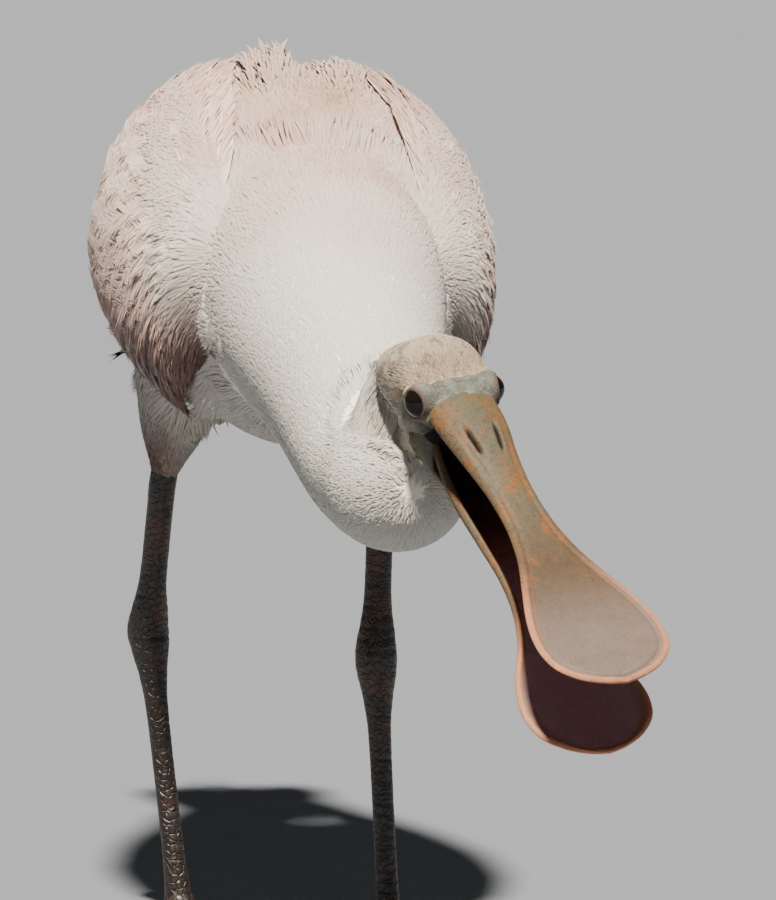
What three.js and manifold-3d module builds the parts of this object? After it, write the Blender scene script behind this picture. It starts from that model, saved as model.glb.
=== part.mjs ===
// Roseate spoonbill feeding in shallow water, built life size as a still model.
// Millimetres, +Z up. The bird looks along -Y and +X is its left side.
import * as THREE from 'three';
import { mergeVertices } from 'three/addons/utils/BufferGeometryUtils.js';
import Module from 'manifold-3d';

const wasm = await Module();
wasm.setup();

// Driving sizes
const GAP = 0.3;                // clearance between neighbouring pieces
const BILL_ROOM = 0.45;         // clearance round the lower bill's base, more as its sides slant
const EYE_RADIUS = 7.3;
const EYE_OPENING = 5.2;        // radius of the opening between the lids
const TIBIA_RADIUS = 5.2;
const ANKLE_RADIUS = 8.4;
const TARSUS_RADIUS = 4.3;
const TOE_RADIUS = 3.6;
const TOE_SINK = 0.5;           // how deep a toe pad is pressed flat on the floor
const MIDDLE_TOE = 74;

// Pose: the trunk tips forward and leans to its left, and the head swings down in front
const TRUNK_CENTRE = new THREE.Vector3(4, -5, 262);
const TRUNK_PITCH = THREE.MathUtils.degToRad(9);
const TRUNK_ROLL = THREE.MathUtils.degToRad(3.5);
const FOREHEAD = new THREE.Vector3(28.8, -236.9, 239.5);
const HEAD_PITCH = THREE.MathUtils.degToRad(37.8);
const HEAD_ROLL = THREE.MathUtils.degToRad(-9);
const HEAD_YAW = THREE.MathUtils.degToRad(22.7);

// Leg joints. Each foot stands on the floor under its ankle
const LEGS = {
  right: { foot: [-40, 22], ankle: [-50.3, 35, 112], shin: [-47.3, 12, 172], thigh: [-40, 2, 222], inward: 1, turn: 8 },
  left: { foot: [28, -76], ankle: [23, -75, 114.9], shin: [25, -73, 172], thigh: [29, -66, 224], inward: -1, turn: 14 },
};

// Trunk sections: distance back, half width, top, bottom
const TRUNK = [
  [-106, 5, -8, -16],
  [-99, 25, 9, -33],
  [-80, 43, 27, -53],
  [-50, 53, 42, -67],
  [-20, 59, 56, -73],
  [15, 61, 62, -76],
  [50, 59, 59, -74],
  [85, 52, 46, -65],
  [115, 40, 31, -52],
  [140, 25, 14, -38],
  [156, 6, -6, -20],
];

// Lower neck from the breast to the bottom of the loop: centre, half width, half depth
const LOWER_NECK = [
  [3, -56, 252, 46, 42],
  [4, -94, 240, 44, 41],
  [7, -136, 222, 37, 36],
  [10.5, -174, 202, 32, 30],
  [13, -202, 196, 29, 27],
];
// Upper neck from the bottom of the loop to the inside of the head
const UPPER_NECK = [
  [13, -202, 196, 28, 26.5],
  [15.5, -209, 212, 22.5, 21],
  [18, -207.5, 228, 19.5, 18],
  [20, -204, 240, 14, 13],
];
const NECK_ROOT = 1.15;         // lower neck station where it leaves the trunk
const NECK_TOP = 1.45;          // upper neck station where it meets the head

// Folded wing sections: distance back, half width, middle height, rise, drop
const WING = [
  [-75, 53, -10, 38, 52],
  [-50, 65, -12, 54, 56],
  [-20, 72.5, -13, 67, 58],
  [15, 75.5, -14, 76, 58],
  [50, 75, -14, 75, 54],
  [85, 69.5, -13, 66, 48],
  [120, 60, -9, 50, 38],
  [160, 47, -6, 34, 27],
  [200, 34, -7, 23, 18],
  [256, 19, -11, 13, 11],
];
// Folded wing edges: distance back, upper edge from the midline, lower edge height
const WING_EDGE = [
  [-75, 45, -30],
  [-50, 43, -56],
  [-20, 41, -60],
  [15, 39, -56],
  [50, 34, -47],
  [85, 25, -36],
  [120, 14, -26],
  [160, 8, -19],
  [200, 6, -16],
  [256, 8, -17],
];
const WING_FRONT = -68;
const ARM_REAR = 60;            // rear edge of the fleshy arm at the upper side
const ARM_SLANT = 34;           // how much shorter the arm is at the lower side
const ARM_CURVE = 22;           // how far the wing's front edge is rounded back
const ARM_THICK = 9;
const ARM_EDGE = 1;
const ARM_DEPTH = 4;            // depth of the arm's skin under the feathers' outer face
const WING_ROUND = 0.86;        // below 1 the upper half is fuller than an ellipse
const ROOM_AROUND = 3;          // room left for the wing where the thigh passes behind it
const ROOM_REACH = 1.14;        // share of the wing's depth that this room covers

// Feathers. A tier runs from its first to its last root and tip, each given as distance back and
// share from the upper edge. Lifts are measured from the wing's outer face
const VANE_THICK = 0.7;
const VANE_VARY = 0.12;
const SHORT_CUTS = [0, 0.45, 0.85, 1];
const LONG_CUTS = [0, 0.3, 0.72, 0.93, 1];
const WING_TIERS = [
  { name: 'primaries', count: 4, roots: [[34, 0.42], [24, 0.8]], tips: [[252, 0.3], [214, 0.78]],
    width: 17, lifts: [-8, -7], rise: 0.3, stack: 1.5, tilt: 0.5, cuts: LONG_CUTS },
  { name: 'secondaries', count: 7, roots: [[44, 0.3], [18, 0.93]], tips: [[186, 0.4], [98, 0.98]],
    width: 21, lifts: [-5.4, -2.6], rise: 0.4, stack: 0.5, tilt: 1.1, cuts: LONG_CUTS },
  { name: 'tertials', count: 3, roots: [[32, 0.05], [44, 0.22]], tips: [[164, 0.08], [206, 0.34]],
    width: 23, lifts: [-5.2, -0.6], rise: 0.5, stack: 0.9, tilt: 1.2, cuts: LONG_CUTS },
  { name: 'greater coverts', count: 7, roots: [[14, 0.2], [-2, 0.92]], tips: [[76, 0.22], [46, 0.97]],
    width: 21.5, lifts: [-5.4, -1], tilt: 1.1, cuts: SHORT_CUTS },
  { name: 'median coverts', count: 7, roots: [[-14, 0.15], [-20, 0.87]], tips: [[34, 0.17], [20, 0.95]],
    width: 22, lifts: [-5.4, -0.4], tilt: 1.1, cuts: SHORT_CUTS },
  { name: 'lesser coverts', count: 7, roots: [[-42, 0.1], [-40, 0.85]], tips: [[3, 0.12], [-4, 0.93]],
    width: 22, lifts: [-5.4, 0], tilt: 1.1, cuts: SHORT_CUTS },
  { name: 'shoulder coverts', count: 6, roots: [[-60, 0.14], [-57, 0.8]], tips: [[-25, 0.15], [-30, 0.93]],
    width: 22, lifts: [-5.4, 0.2], tilt: 1.1, cuts: SHORT_CUTS },
  { name: 'scapulars', count: 2, roots: [[-36, 0.03], [-28, 0.12]], tips: [[64, 0.02], [90, 0.14]],
    width: 20, lifts: [-5, 5.5], rise: 0.8, stack: 0.6, tilt: 1.2, cuts: LONG_CUTS },
];
const WING_SEEDS = { left: 11, right: 23 };
const TAIL_ROOT = 150;
const TAIL_LENGTH = 96;
const TAIL_NARROW = 13;
const TAIL_WIDE = 38;
const TAIL_HEIGHT = -17;
const TAIL_DROOP = 15;
const TAIL_ARCH = 190;          // larger is flatter across
const TAIL_SEED = 5;
const TAIL_BASE = { halves: [17, 26, 7], forward: 6, drop: 3.5 };
const TAIL_SHORTER = 0.09;      // how much shorter the outer tail feathers are
const TAIL_VARY = 0.036;
const TAIL_TIERS = [
  { name: 'tail feathers', count: 10, root: 148, length: 100, spread: 0.94, gather: 0.8,
    width: 21, lifts: [-4, -1.5], rise: 0.3, rootStack: 1.6, stack: 5.4, tilt: 0.8,
    cuts: SHORT_CUTS },
  { name: 'tail coverts', count: 5, root: 138, length: 48, spread: 0.8, gather: 0.85,
    width: 18, lifts: [-2.5, 2.6], rise: 1, rootStack: 0.7, stack: 2.2, tilt: 0.8,
    cuts: SHORT_CUTS },
];

// Head sections: distance back from the forehead feathers, half width, top, bottom
const SKULL = [
  [-13, 13.5, -2.6, -17],
  [-8, 15.6, -1.0, -21],
  [-1, 17.3, 1.0, -25.5],
  [8, 18.4, 3.4, -28.5],
  [17, 18.8, 3.0, -30],
  [25, 17.8, -2.2, -30],
  [32, 15, -9.5, -29],
  [38, 10, -16.5, -26],
  [41, 3, -20, -23],
];

// Upper bill sections: distance forward, half width, ridge height, edge height
const UPPER_BILL = [
  [13.4, 13.6, -3.0, -14.5],
  [24, 13.2, -4.6, -14],
  [38, 12.1, -6.2, -12.8],
  [55, 11.1, -6.8, -11.6],
  [72, 11.2, -6.4, -10.4],
  [88, 13.2, -5.4, -9.2],
  [102, 17.4, -4.2, -7.8],
  [115, 22, -2.9, -6.4],
  [126, 25, -1.9, -5.2],
  [136, 25.8, -1.0, -4.2],
  [145, 23.4, -0.5, -3.5],
  [152, 16.6, -0.4, -3.0],
  [156, 8, -0.6, -2.6],
];
// Lower bill sections: distance forward, half width, edge height, underside, trough
const LOWER_BILL = [
  [2, 13.4, -19.5, -28, 1.5],
  [18, 13, -21.2, -29.4, 3.5],
  [38, 11.4, -23.2, -30.4, 3.6],
  [58, 10, -25.4, -31.2, 3.0],
  [75, 9.2, -27.0, -31.6, 2.2],
  [90, 10.2, -29.2, -33.2, 1.6],
  [104, 14, -31.6, -35.4, 1.2],
  [117, 20.6, -33.6, -37.2, 1.1],
  [128, 24.2, -34.8, -38.2, 1.0],
  [137, 25.2, -35.6, -38.8, 1.0],
  [146, 22.8, -36.2, -39.2, 0.9],
  [153, 16, -36.6, -39.4, 0.7],
  [157, 8, -36.8, -39.4, 0.4],
];

// Colours
const COLOURS = {
  plumage: [0.86, 0.80, 0.74],
  pink: [0.80, 0.58, 0.53],
  bill: [0.62, 0.50, 0.40],
  eye: [0.05, 0.03, 0.03],
  leg: [0.16, 0.10, 0.08],
  claw: [0.08, 0.07, 0.06],
};

// Smooth value of a table of stations at a fractional station number
function stationAt(table, at) {
  const last = table.length - 1;
  const i = Math.min(Math.max(Math.floor(at), 0), last - 1);
  const t = at - i;
  const before = table[Math.max(i - 1, 0)];
  const after = table[Math.min(i + 2, last)];
  return table[i].map((value, k) => {
    const next = table[i + 1][k];
    const slope0 = (next - before[k]) / 2;
    const slope1 = (after[k] - value) / 2;
    const t2 = t * t;
    const t3 = t2 * t;
    return value * (2 * t3 - 3 * t2 + 1) + slope0 * (t3 - 2 * t2 + t)
      + next * (3 * t2 - 2 * t3) + slope1 * (t3 - t2);
  });
}

// Smooth value of a table at a place measured in its first column
function tableAt(table, place) {
  const last = table.length - 1;
  let i = 0;
  while (i < last - 1 && place > table[i + 1][0]) i += 1;
  const t = THREE.MathUtils.clamp((place - table[i][0]) / (table[i + 1][0] - table[i][0]), 0, 1);
  return stationAt(table, i + t);
}

// Signed power, which rounds or squares a circle's sine and cosine
function squared(value, power) {
  return Math.sign(value) * Math.abs(value) ** power;
}

// Closed shape through a row of rings, each closed and with the same number of points
function skinOver(rings) {
  const count = rings[0].length;
  const points = rings.flat();
  const faces = [];
  for (let i = 0; i + 1 < rings.length; i += 1) {
    for (let j = 0; j < count; j += 1) {
      const k = (j + 1) % count;
      const a = i * count + j;
      const b = i * count + k;
      const c = (i + 1) * count + k;
      const d = (i + 1) * count + j;
      faces.push([a, b, c], [a, c, d]);
    }
  }
  const ends = [[0, -1], [rings.length - 1, 1]];
  for (const [end, side] of ends) {
    const middle = points.length;
    const sum = rings[end].reduce((total, p) => total.add(p), new THREE.Vector3());
    points.push(sum.divideScalar(count));
    for (let j = 0; j < count; j += 1) {
      const a = end * count + j;
      const b = end * count + (j + 1) % count;
      faces.push(side > 0 ? [a, b, middle] : [b, a, middle]);
    }
  }
  return geometryOf(points, faces);
}

function geometryOf(points, faces) {
  const geometry = new THREE.BufferGeometry().setFromPoints(points);
  geometry.setIndex(faces.flat());
  return geometry;
}

// Manifold solid of a geometry, turned right side out
function solidOf(geometry) {
  const plain = geometry.clone();
  plain.deleteAttribute('normal');
  plain.deleteAttribute('uv');
  const merged = mergeVertices(plain, 1e-4);
  const source = merged.getIndex().array;
  const kept = [];
  for (let i = 0; i < source.length; i += 3) {
    const [a, b, c] = [source[i], source[i + 1], source[i + 2]];
    if (a !== b && b !== c && c !== a) kept.push(a, b, c);
  }
  const build = (triangles) => new wasm.Manifold(new wasm.Mesh({
    numProp: 3,
    vertProperties: new Float32Array(merged.getAttribute('position').array),
    triVerts: new Uint32Array(triangles),
  }));
  const solid = build(kept);
  if (solid.volume() > 0) return solid;
  const turned = [];
  for (let i = 0; i < kept.length; i += 3) turned.push(kept[i], kept[i + 2], kept[i + 1]);
  return build(turned);
}

// Largest closed piece of a solid
function largest(solid) {
  return solid.decompose().sort((a, b) => b.volume() - a.volume())[0];
}

function geometryFrom(solid) {
  const mesh = largest(solid).getMesh();
  const geometry = new THREE.BufferGeometry();
  geometry.setAttribute('position', new THREE.BufferAttribute(new Float32Array(mesh.vertProperties), 3));
  geometry.setIndex(new THREE.BufferAttribute(new Uint32Array(mesh.triVerts), 1));
  geometry.computeVertexNormals();
  return geometry;
}

function joinAll(solids) {
  return solids.reduce((whole, solid) => whole.add(solid));
}

// The same solid, seen from another group's frame
function across(solid, from, to) {
  const matrix = to.matrixWorld.clone().invert().multiply(from.matrixWorld);
  return solid.transform(matrix.elements);
}

// Section ring across the Y axis: half width to the side, given top and bottom
function crossRing(place, half, top, bottom, count, power = 1) {
  const middle = (top + bottom) / 2;
  const height = (top - bottom) / 2;
  return Array.from({ length: count }, (unused, j) => {
    const angle = (2 * Math.PI * j) / count;
    return new THREE.Vector3(
      half * squared(Math.cos(angle), power),
      place,
      middle + height * squared(Math.sin(angle), power),
    );
  });
}

// Body made of cross sections from a table of distance back, half width, top and bottom
function sectionBody(table, steps, count, grow = 0) {
  const rings = [];
  const last = table.length - 1;
  for (let i = 0; i <= steps; i += 1) {
    const [place, half, top, bottom] = stationAt(table, (last * i) / steps);
    const end = grow * (2 * i / steps - 1);
    rings.push(crossRing(place + end, half + grow, top + grow, bottom - grow, count));
  }
  return solidOf(skinOver(rings));
}

// Ring across a path: half width along side, half depth along the third direction
function pathRing(centre, direction, side, half, depth, count) {
  const across1 = side.clone().addScaledVector(direction, -side.dot(direction)).normalize();
  const across2 = new THREE.Vector3().crossVectors(direction, across1);
  return Array.from({ length: count }, (unused, j) => {
    const angle = (2 * Math.PI * j) / count;
    return centre.clone()
      .addScaledVector(across1, half * Math.cos(angle))
      .addScaledVector(across2, depth * Math.sin(angle));
  });
}

// Tube through a table of centres, half widths and half depths, between two stations
function tableTube(table, from, to, steps, count, side = new THREE.Vector3(1, 0, 0), grow = 0) {
  const rings = [];
  for (let i = 0; i <= steps; i += 1) {
    const at = from + ((to - from) * i) / steps;
    const [x, y, z, half, depth] = stationAt(table, at);
    const ahead = stationAt(table, Math.min(at + 0.02, table.length - 1));
    const behind = stationAt(table, Math.max(at - 0.02, 0));
    const direction = new THREE.Vector3(ahead[0] - behind[0], ahead[1] - behind[1], ahead[2] - behind[2]);
    const centre = new THREE.Vector3(x, y, z);
    rings.push(pathRing(centre, direction.normalize(), side, half + grow, depth + grow, count));
  }
  return solidOf(skinOver(rings));
}

// Plane across a table's path at a station
function crossPlane(table, at) {
  const here = stationAt(table, at);
  const ahead = stationAt(table, at + 0.02);
  const normal = new THREE.Vector3(ahead[0] - here[0], ahead[1] - here[1], ahead[2] - here[2]).normalize();
  return { normal, offset: normal.dot(new THREE.Vector3(here[0], here[1], here[2])) };
}

// Mitre plane through the bottom of the neck's loop
function bendPlane() {
  const [x, y, z] = UPPER_NECK[0];
  const into = crossPlane(LOWER_NECK, LOWER_NECK.length - 1.02).normal;
  const out = crossPlane(UPPER_NECK, 0).normal;
  const normal = into.clone().add(out).normalize();
  return { normal, offset: normal.dot(new THREE.Vector3(x, y, z)) };
}

// Neck as two tubes and a ball that rounds the bottom of the loop
function neckSolid(grow = 0) {
  const lower = tableTube(LOWER_NECK, 0, LOWER_NECK.length - 1, 9, 16, undefined, grow);
  const upper = tableTube(UPPER_NECK, 0, UPPER_NECK.length - 1, 5, 16, undefined, grow);
  const [x, y, z, half, depth] = LOWER_NECK.at(-1);
  const ball = new THREE.SphereGeometry(1, 16, 12);
  ball.rotateX(Math.PI / 2);
  ball.scale(half + grow, depth + grow, depth + grow);
  ball.translate(x, y, z);
  return joinAll([lower, upper, solidOf(ball)]);
}

// Part of a solid past a plane, or before it where side is -1, with half the gap left clear
function pastPlane(solid, plane, side) {
  const normal = plane.normal.clone().multiplyScalar(side);
  return solid.trimByPlane(normal.toArray(), side * plane.offset + GAP / 2);
}

// Groups that hold the pose
const bird = new THREE.Group();
const trunkGroup = new THREE.Group();
trunkGroup.position.copy(TRUNK_CENTRE);
trunkGroup.rotation.set(TRUNK_PITCH, TRUNK_ROLL, 0, 'XYZ');
const headGroup = new THREE.Group();
headGroup.position.copy(FOREHEAD);
headGroup.rotation.set(HEAD_PITCH, HEAD_ROLL, HEAD_YAW, 'ZXY');
bird.add(trunkGroup, headGroup);
bird.updateMatrixWorld(true);

function place(group, name, solid, colour, roughness = 0.85) {
  const material = new THREE.MeshStandardMaterial({
    color: new THREE.Color(...colour),
    roughness,
    metalness: 0,
  });
  const mesh = new THREE.Mesh(geometryFrom(solid), material);
  mesh.name = name;
  group.add(mesh);
  return mesh;
}

// Trunk and neck, modelled whole and parted with thin cuts
function trunkSolid(grow = 0) {
  return sectionBody(TRUNK, 18, 20, grow);
}

// Point on a folded wing's outer face: distance back, share from upper to lower edge, side
function wingPoint(back, share, side, lift = 0) {
  const [, half, middle, rise, drop] = tableAt(WING, back);
  const [, upper, lower] = tableAt(WING_EDGE, back);
  const first = Math.asin(Math.min((upper / half) ** (1 / WING_ROUND), 1));
  const lowerCosine = (lower - middle) / (lower < middle ? drop : rise);
  const last = Math.acos(THREE.MathUtils.clamp(lowerCosine, -1, 1));
  const angle = first + (last - first) * share;
  const height = Math.cos(angle) < 0 ? drop : rise;
  const round = Math.cos(angle) < 0 ? 1 : WING_ROUND;
  return new THREE.Vector3(
    side * (half + lift) * squared(Math.sin(angle), round),
    back,
    middle + (height + lift) * squared(Math.cos(angle), round),
  );
}

// Closed sheet between an outer and an inner face, both on the same grid
function sheetSolid(outer, inner, rows, columns) {
  const points = [];
  const faces = [];
  for (const face of [outer, inner]) {
    for (let i = 0; i <= rows; i += 1) {
      for (let j = 0; j <= columns; j += 1) points.push(face(i / rows, j / columns));
    }
  }
  const width = columns + 1;
  const back = (rows + 1) * width;
  const quad = (a, b, c, d) => faces.push([a, b, c], [a, c, d]);
  for (let i = 0; i < rows; i += 1) {
    for (let j = 0; j < columns; j += 1) {
      const a = i * width + j;
      quad(a, a + 1, a + width + 1, a + width);
      faces.push([back + a, back + a + width + 1, back + a + 1]);
      faces.push([back + a, back + a + width, back + a + width + 1]);
    }
  }
  for (let j = 0; j < columns; j += 1) {
    quad(j + 1, j, back + j, back + j + 1);
    const a = rows * width + j;
    quad(a, a + 1, back + a + 1, back + a);
  }
  for (let i = 0; i < rows; i += 1) {
    const a = i * width;
    quad(a, a + width, back + a + width, back + a);
    const b = a + columns;
    quad(b + width, b, back + b, back + b + width);
  }
  return solidOf(geometryOf(points, faces));
}

// Seeded draws, so that every build varies the feathers alike
function drawer(seed) {
  let state = seed;
  return () => {
    state = (state * 1664525 + 1013904223) % 4294967296;
    return state / 4294967296 - 0.5;
  };
}

// Flat tapered feather through stations of centre, left side, normal, half width and tilt
function vaneSolid(stations, thick = VANE_THICK) {
  const points = [];
  for (const { centre, left, normal, half, tilt } of stations) {
    for (const [way, face] of [[1, 1], [-1, 1], [-1, -1], [1, -1]]) {
      points.push(centre.clone()
        .addScaledVector(left, way * half)
        .addScaledVector(normal, way * tilt + (face * thick) / 2));
    }
  }
  const faces = [[0, 1, 2], [0, 2, 3]];
  for (let i = 0; i + 1 < stations.length; i += 1) {
    const a = i * 4;
    const b = a + 4;
    faces.push([a, b, b + 1], [a, b + 1, a + 1]);
    faces.push([a + 3, b + 2, b + 3], [a + 3, a + 2, b + 2]);
    faces.push([a + 1, b + 1, b + 2], [a + 1, b + 2, a + 2]);
    faces.push([a + 3, b + 3, b], [a + 3, b, a]);
  }
  const e = (stations.length - 1) * 4;
  faces.push([e, e + 2, e + 1], [e, e + 3, e + 2]);
  return solidOf(geometryOf(points, faces));
}

// Width of a feather along its length, from the root to the rounded tip
function vaneWidth(at) {
  const swell = 0.5 + 0.5 * Math.min(1, at / 0.35);
  const tip = Math.sqrt(Math.max(0, 1 - Math.max(0, (at - 0.62) / 0.42) ** 2));
  return swell * tip;
}

// Stations of one feather laid on a face, which gives a point for a place, a share and a lift
function layFeather(face, root, tip, feather) {
  const spot = (at) => {
    const bend = feather.bend * Math.sin(Math.PI * at);
    const back = root[0] + (tip[0] - root[0]) * at;
    const share = root[1] + (tip[1] - root[1]) * at + bend;
    const lift = feather.rootLift + (feather.tipLift - feather.rootLift) * Math.min(1, at / feather.rise);
    return [back, share, lift - feather.stack * (0.4 + 0.6 * at)];
  };
  const step = 0.02;
  return feather.cuts.map((at) => {
    const [back, share, lift] = spot(at);
    const centre = face(back, share, lift);
    const [aheadBack, aheadShare, aheadLift] = spot(at + step);
    const way = face(aheadBack, aheadShare, aheadLift).sub(centre).normalize();
    const inside = face(back, share, lift - 4);
    const rough = centre.clone().sub(inside).normalize();
    const left = new THREE.Vector3().crossVectors(rough, way).normalize();
    const normal = new THREE.Vector3().crossVectors(way, left).normalize();
    return { centre, left, normal, half: (feather.width / 2) * vaneWidth(at), tilt: feather.tilt };
  });
}

// One tier: like feathers side by side, between the first and the last root and tip
function tierSolids(face, tier, side, draw) {
  const solids = [];
  for (let i = 0; i < tier.count; i += 1) {
    const t = tier.count === 1 ? 0 : i / (tier.count - 1);
    const mixed = (first, last, k) => first[k] + (last[k] - first[k]) * t;
    const root = [0, 1].map((k) => mixed(tier.roots[0], tier.roots[1], k));
    const tip = [0, 1].map((k) => mixed(tier.tips[0], tier.tips[1], k));
    tip[0] += (tip[0] - root[0]) * VANE_VARY * draw();
    const feather = {
      width: tier.width * (1 + VANE_VARY * draw()),
      rootLift: tier.lifts[0],
      tipLift: tier.lifts[1],
      rise: tier.rise ?? 1,
      stack: (tier.stack ?? 0) * i,
      bend: tier.bend ?? 0,
      tilt: -side * tier.tilt,
      cuts: tier.cuts,
    };
    solids.push(vaneSolid(layFeather(face, root, tip, feather)));
  }
  return solids;
}

// Fleshy arm of the folded wing, which the feathers grow from
function armSolid(side, grow = 0) {
  const frontOf = (share) => WING_FRONT + ARM_CURVE * (2 * share - 1.1) ** 2;
  const rearOf = (share) => ARM_REAR - ARM_SLANT * share;
  const at = (row, share) => frontOf(share) + (rearOf(share) - frontOf(share)) * row;
  const acrossArm = (share) => Math.sin(Math.PI * (0.06 + 0.88 * share)) ** 0.6;
  const alongArm = (row) => Math.sin(Math.PI * Math.min(0.5, 0.12 + row * 1.4)) * (1 - 0.75 * row ** 2);
  const thick = (row, share) => ARM_EDGE + ARM_THICK * acrossArm(share) * alongArm(row);
  const outer = (row, share) => wingPoint(at(row, share), share, side, grow - ARM_DEPTH);
  const inner = (row, share) => wingPoint(at(row, share), share, side, -grow - ARM_DEPTH - thick(row, share));
  return sheetSolid(outer, inner, 5, 6);
}

// Folded wing: the arm with its coverts, scapulars, tertials, secondaries and primaries
function wingSolid(side, seed) {
  const draw = drawer(seed);
  const face = (back, share, lift) => wingPoint(back, share, side, lift);
  const feathers = WING_TIERS.flatMap((tier) => tierSolids(face, tier, side, draw));
  return joinAll([armSolid(side), ...feathers]);
}

// Room that the folded wing fills, used to keep the thigh clear of it
function wingRoom(side) {
  const at = (row) => WING_FRONT - ROOM_AROUND + (ARM_REAR - WING_FRONT + 2 * ROOM_AROUND) * row;
  const reach = (share) => ROOM_REACH * share;
  const outer = (row, share) => wingPoint(at(row), reach(share), side, ROOM_AROUND);
  const inner = (row, share) => wingPoint(at(row), reach(share), side, -ARM_DEPTH - ARM_THICK - ROOM_AROUND);
  return sheetSolid(outer, inner, 5, 7);
}

// Point on the tail's upper face: distance back, share from right to left edge
function tailPoint(back, share, lift = 0) {
  const open = THREE.MathUtils.clamp((back - TAIL_ROOT) / TAIL_LENGTH, 0, 1);
  const half = TAIL_NARROW + (TAIL_WIDE - TAIL_NARROW) * open;
  const x = half * (2 * share - 1);
  const droop = TAIL_DROOP * open + (x * x) / TAIL_ARCH;
  return new THREE.Vector3(x, back, TAIL_HEIGHT - droop + lift);
}

// Tail: a root wedge with two tiers of coverts over a fan of flight feathers
function tailSolid() {
  const draw = drawer(TAIL_SEED);
  const base = new THREE.SphereGeometry(1, 12, 8);
  base.rotateX(Math.PI / 2);
  base.scale(...TAIL_BASE.halves);
  base.translate(0, TAIL_ROOT - TAIL_BASE.forward, TAIL_HEIGHT - TAIL_BASE.drop);
  const solids = [solidOf(base)];
  for (const tier of TAIL_TIERS) {
    for (let i = 0; i < tier.count; i += 1) {
      const t = i / (tier.count - 1);
      const out = Math.abs(2 * t - 1);
      const share = 0.5 + tier.spread * (t - 0.5);
      const feather = {
        width: tier.width,
        rootLift: tier.lifts[0] - tier.rootStack * out,
        tipLift: tier.lifts[1] - tier.stack * out,
        rise: tier.rise,
        stack: 0,
        bend: 0,
        tilt: -tier.tilt * Math.sign(t - 0.5),
        cuts: tier.cuts,
      };
      const length = tier.length * (1 - TAIL_SHORTER * out ** 2 + TAIL_VARY * draw());
      const root = [tier.root, 0.5 + (share - 0.5) * tier.gather];
      const tip = [tier.root + length, share];
      solids.push(vaneSolid(layFeather(tailPoint, root, tip, feather)));
    }
  }
  return joinAll(solids);
}

// Head with its orbits, lids and the corner of the mouth
const EYE_SIDE = 11.7;
const EYE_BACK = -3.4;
const EYE_HEIGHT = -5.6;
const LID_TUBE = 1.5;           // radius of the lid's rim
const LID_OUT = 1.3;            // distance of the rim's middle outside the opening
const LID_SINK = 0.4;
const EYE_LOOK = new THREE.Vector3(0.96, -0.22, 0.14).normalize();

function eyeCentre(side) {
  return new THREE.Vector3(side * EYE_SIDE, EYE_BACK, EYE_HEIGHT);
}

function eyeSolid(side, grow = 0) {
  const ball = new THREE.SphereGeometry(EYE_RADIUS + grow, 12, 8);
  ball.rotateZ(-side * Math.PI / 2);
  ball.translate(...eyeCentre(side).toArray());
  return solidOf(ball);
}

function lidSolid(side) {
  const ring = new THREE.TorusGeometry(EYE_OPENING + LID_OUT, LID_TUBE, 5, 12);
  const look = EYE_LOOK.clone();
  look.x *= side;
  ring.applyQuaternion(new THREE.Quaternion().setFromUnitVectors(new THREE.Vector3(0, 0, 1), look));
  const depth = Math.sqrt(EYE_RADIUS ** 2 - EYE_OPENING ** 2) - LID_SINK;
  ring.translate(...eyeCentre(side).addScaledVector(look, depth).toArray());
  return solidOf(ring);
}

// Corner of the mouth: half opening, width through the head, stretch forward, place
const MOUTH = { open: 2.2, width: 60, stretch: 3.2, back: -10, height: -17 };

function headSolid(nape) {
  const skull = sectionBody(SKULL, 14, 16).add(nape);
  const lids = [-1, 1].map((side) => lidSolid(side));
  const orbits = [-1, 1].map((side) => eyeSolid(side, GAP));
  const mouth = new THREE.CylinderGeometry(MOUTH.open, MOUTH.open, MOUTH.width, 8);
  mouth.rotateZ(Math.PI / 2);
  mouth.scale(1, MOUTH.stretch, 1);
  mouth.translate(0, MOUTH.back, MOUTH.height);
  const whole = joinAll([skull, ...lids]).subtract(joinAll(orbits)).subtract(solidOf(mouth));
  return whole.subtract(lowerBillSolid(BILL_ROOM));
}

// Bill halves, made of sections across the bill
const BILL_FLAT_FROM = 50;      // distance forward from which the upper bill is flat with thin edges
const BILL_EDGE_POWER = 0.8;
const NOSTRIL = { side: 6, forward: 32, height: -5.4, halves: [1.3, 6.5, 2.2], turn: 0.12 };

function upperBillSolid() {
  const rings = UPPER_BILL.map(([forward, half, ridge, edge]) => {
    const power = forward < BILL_FLAT_FROM ? 1 : BILL_EDGE_POWER;
    return crossRing(-forward, half, ridge, edge, 20, power);
  });
  const slots = [-1, 1].map((side) => {
    const slot = new THREE.SphereGeometry(1, 8, 6);
    slot.scale(...NOSTRIL.halves);
    slot.rotateZ(side * NOSTRIL.turn);
    slot.translate(side * NOSTRIL.side, -NOSTRIL.forward, NOSTRIL.height);
    return solidOf(slot);
  });
  return solidOf(skinOver(rings)).subtract(joinAll(slots));
}

function lowerBillSolid(grow = 0) {
  const rings = LOWER_BILL.map(([forward, half, edge, under, trough], i) => {
    const start = i === 0 ? grow : 0;
    const ring = crossRing(start - forward, half + grow, edge + grow, under - grow, 20, 0.85);
    for (const point of ring) {
      const share = 1 - Math.min(1, Math.abs(point.x / half) / 0.8) ** 2;
      if (point.z > (edge + under) / 2) point.z -= Math.min(trough, edge - under - 1.6) * share;
    }
    return ring;
  });
  return solidOf(skinOver(rings));
}

// Leg pieces between joints
function taperTube(stations, count, stepsEach = 2) {
  return tableTube(stations, 0, stations.length - 1, (stations.length - 1) * stepsEach, count);
}

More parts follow.
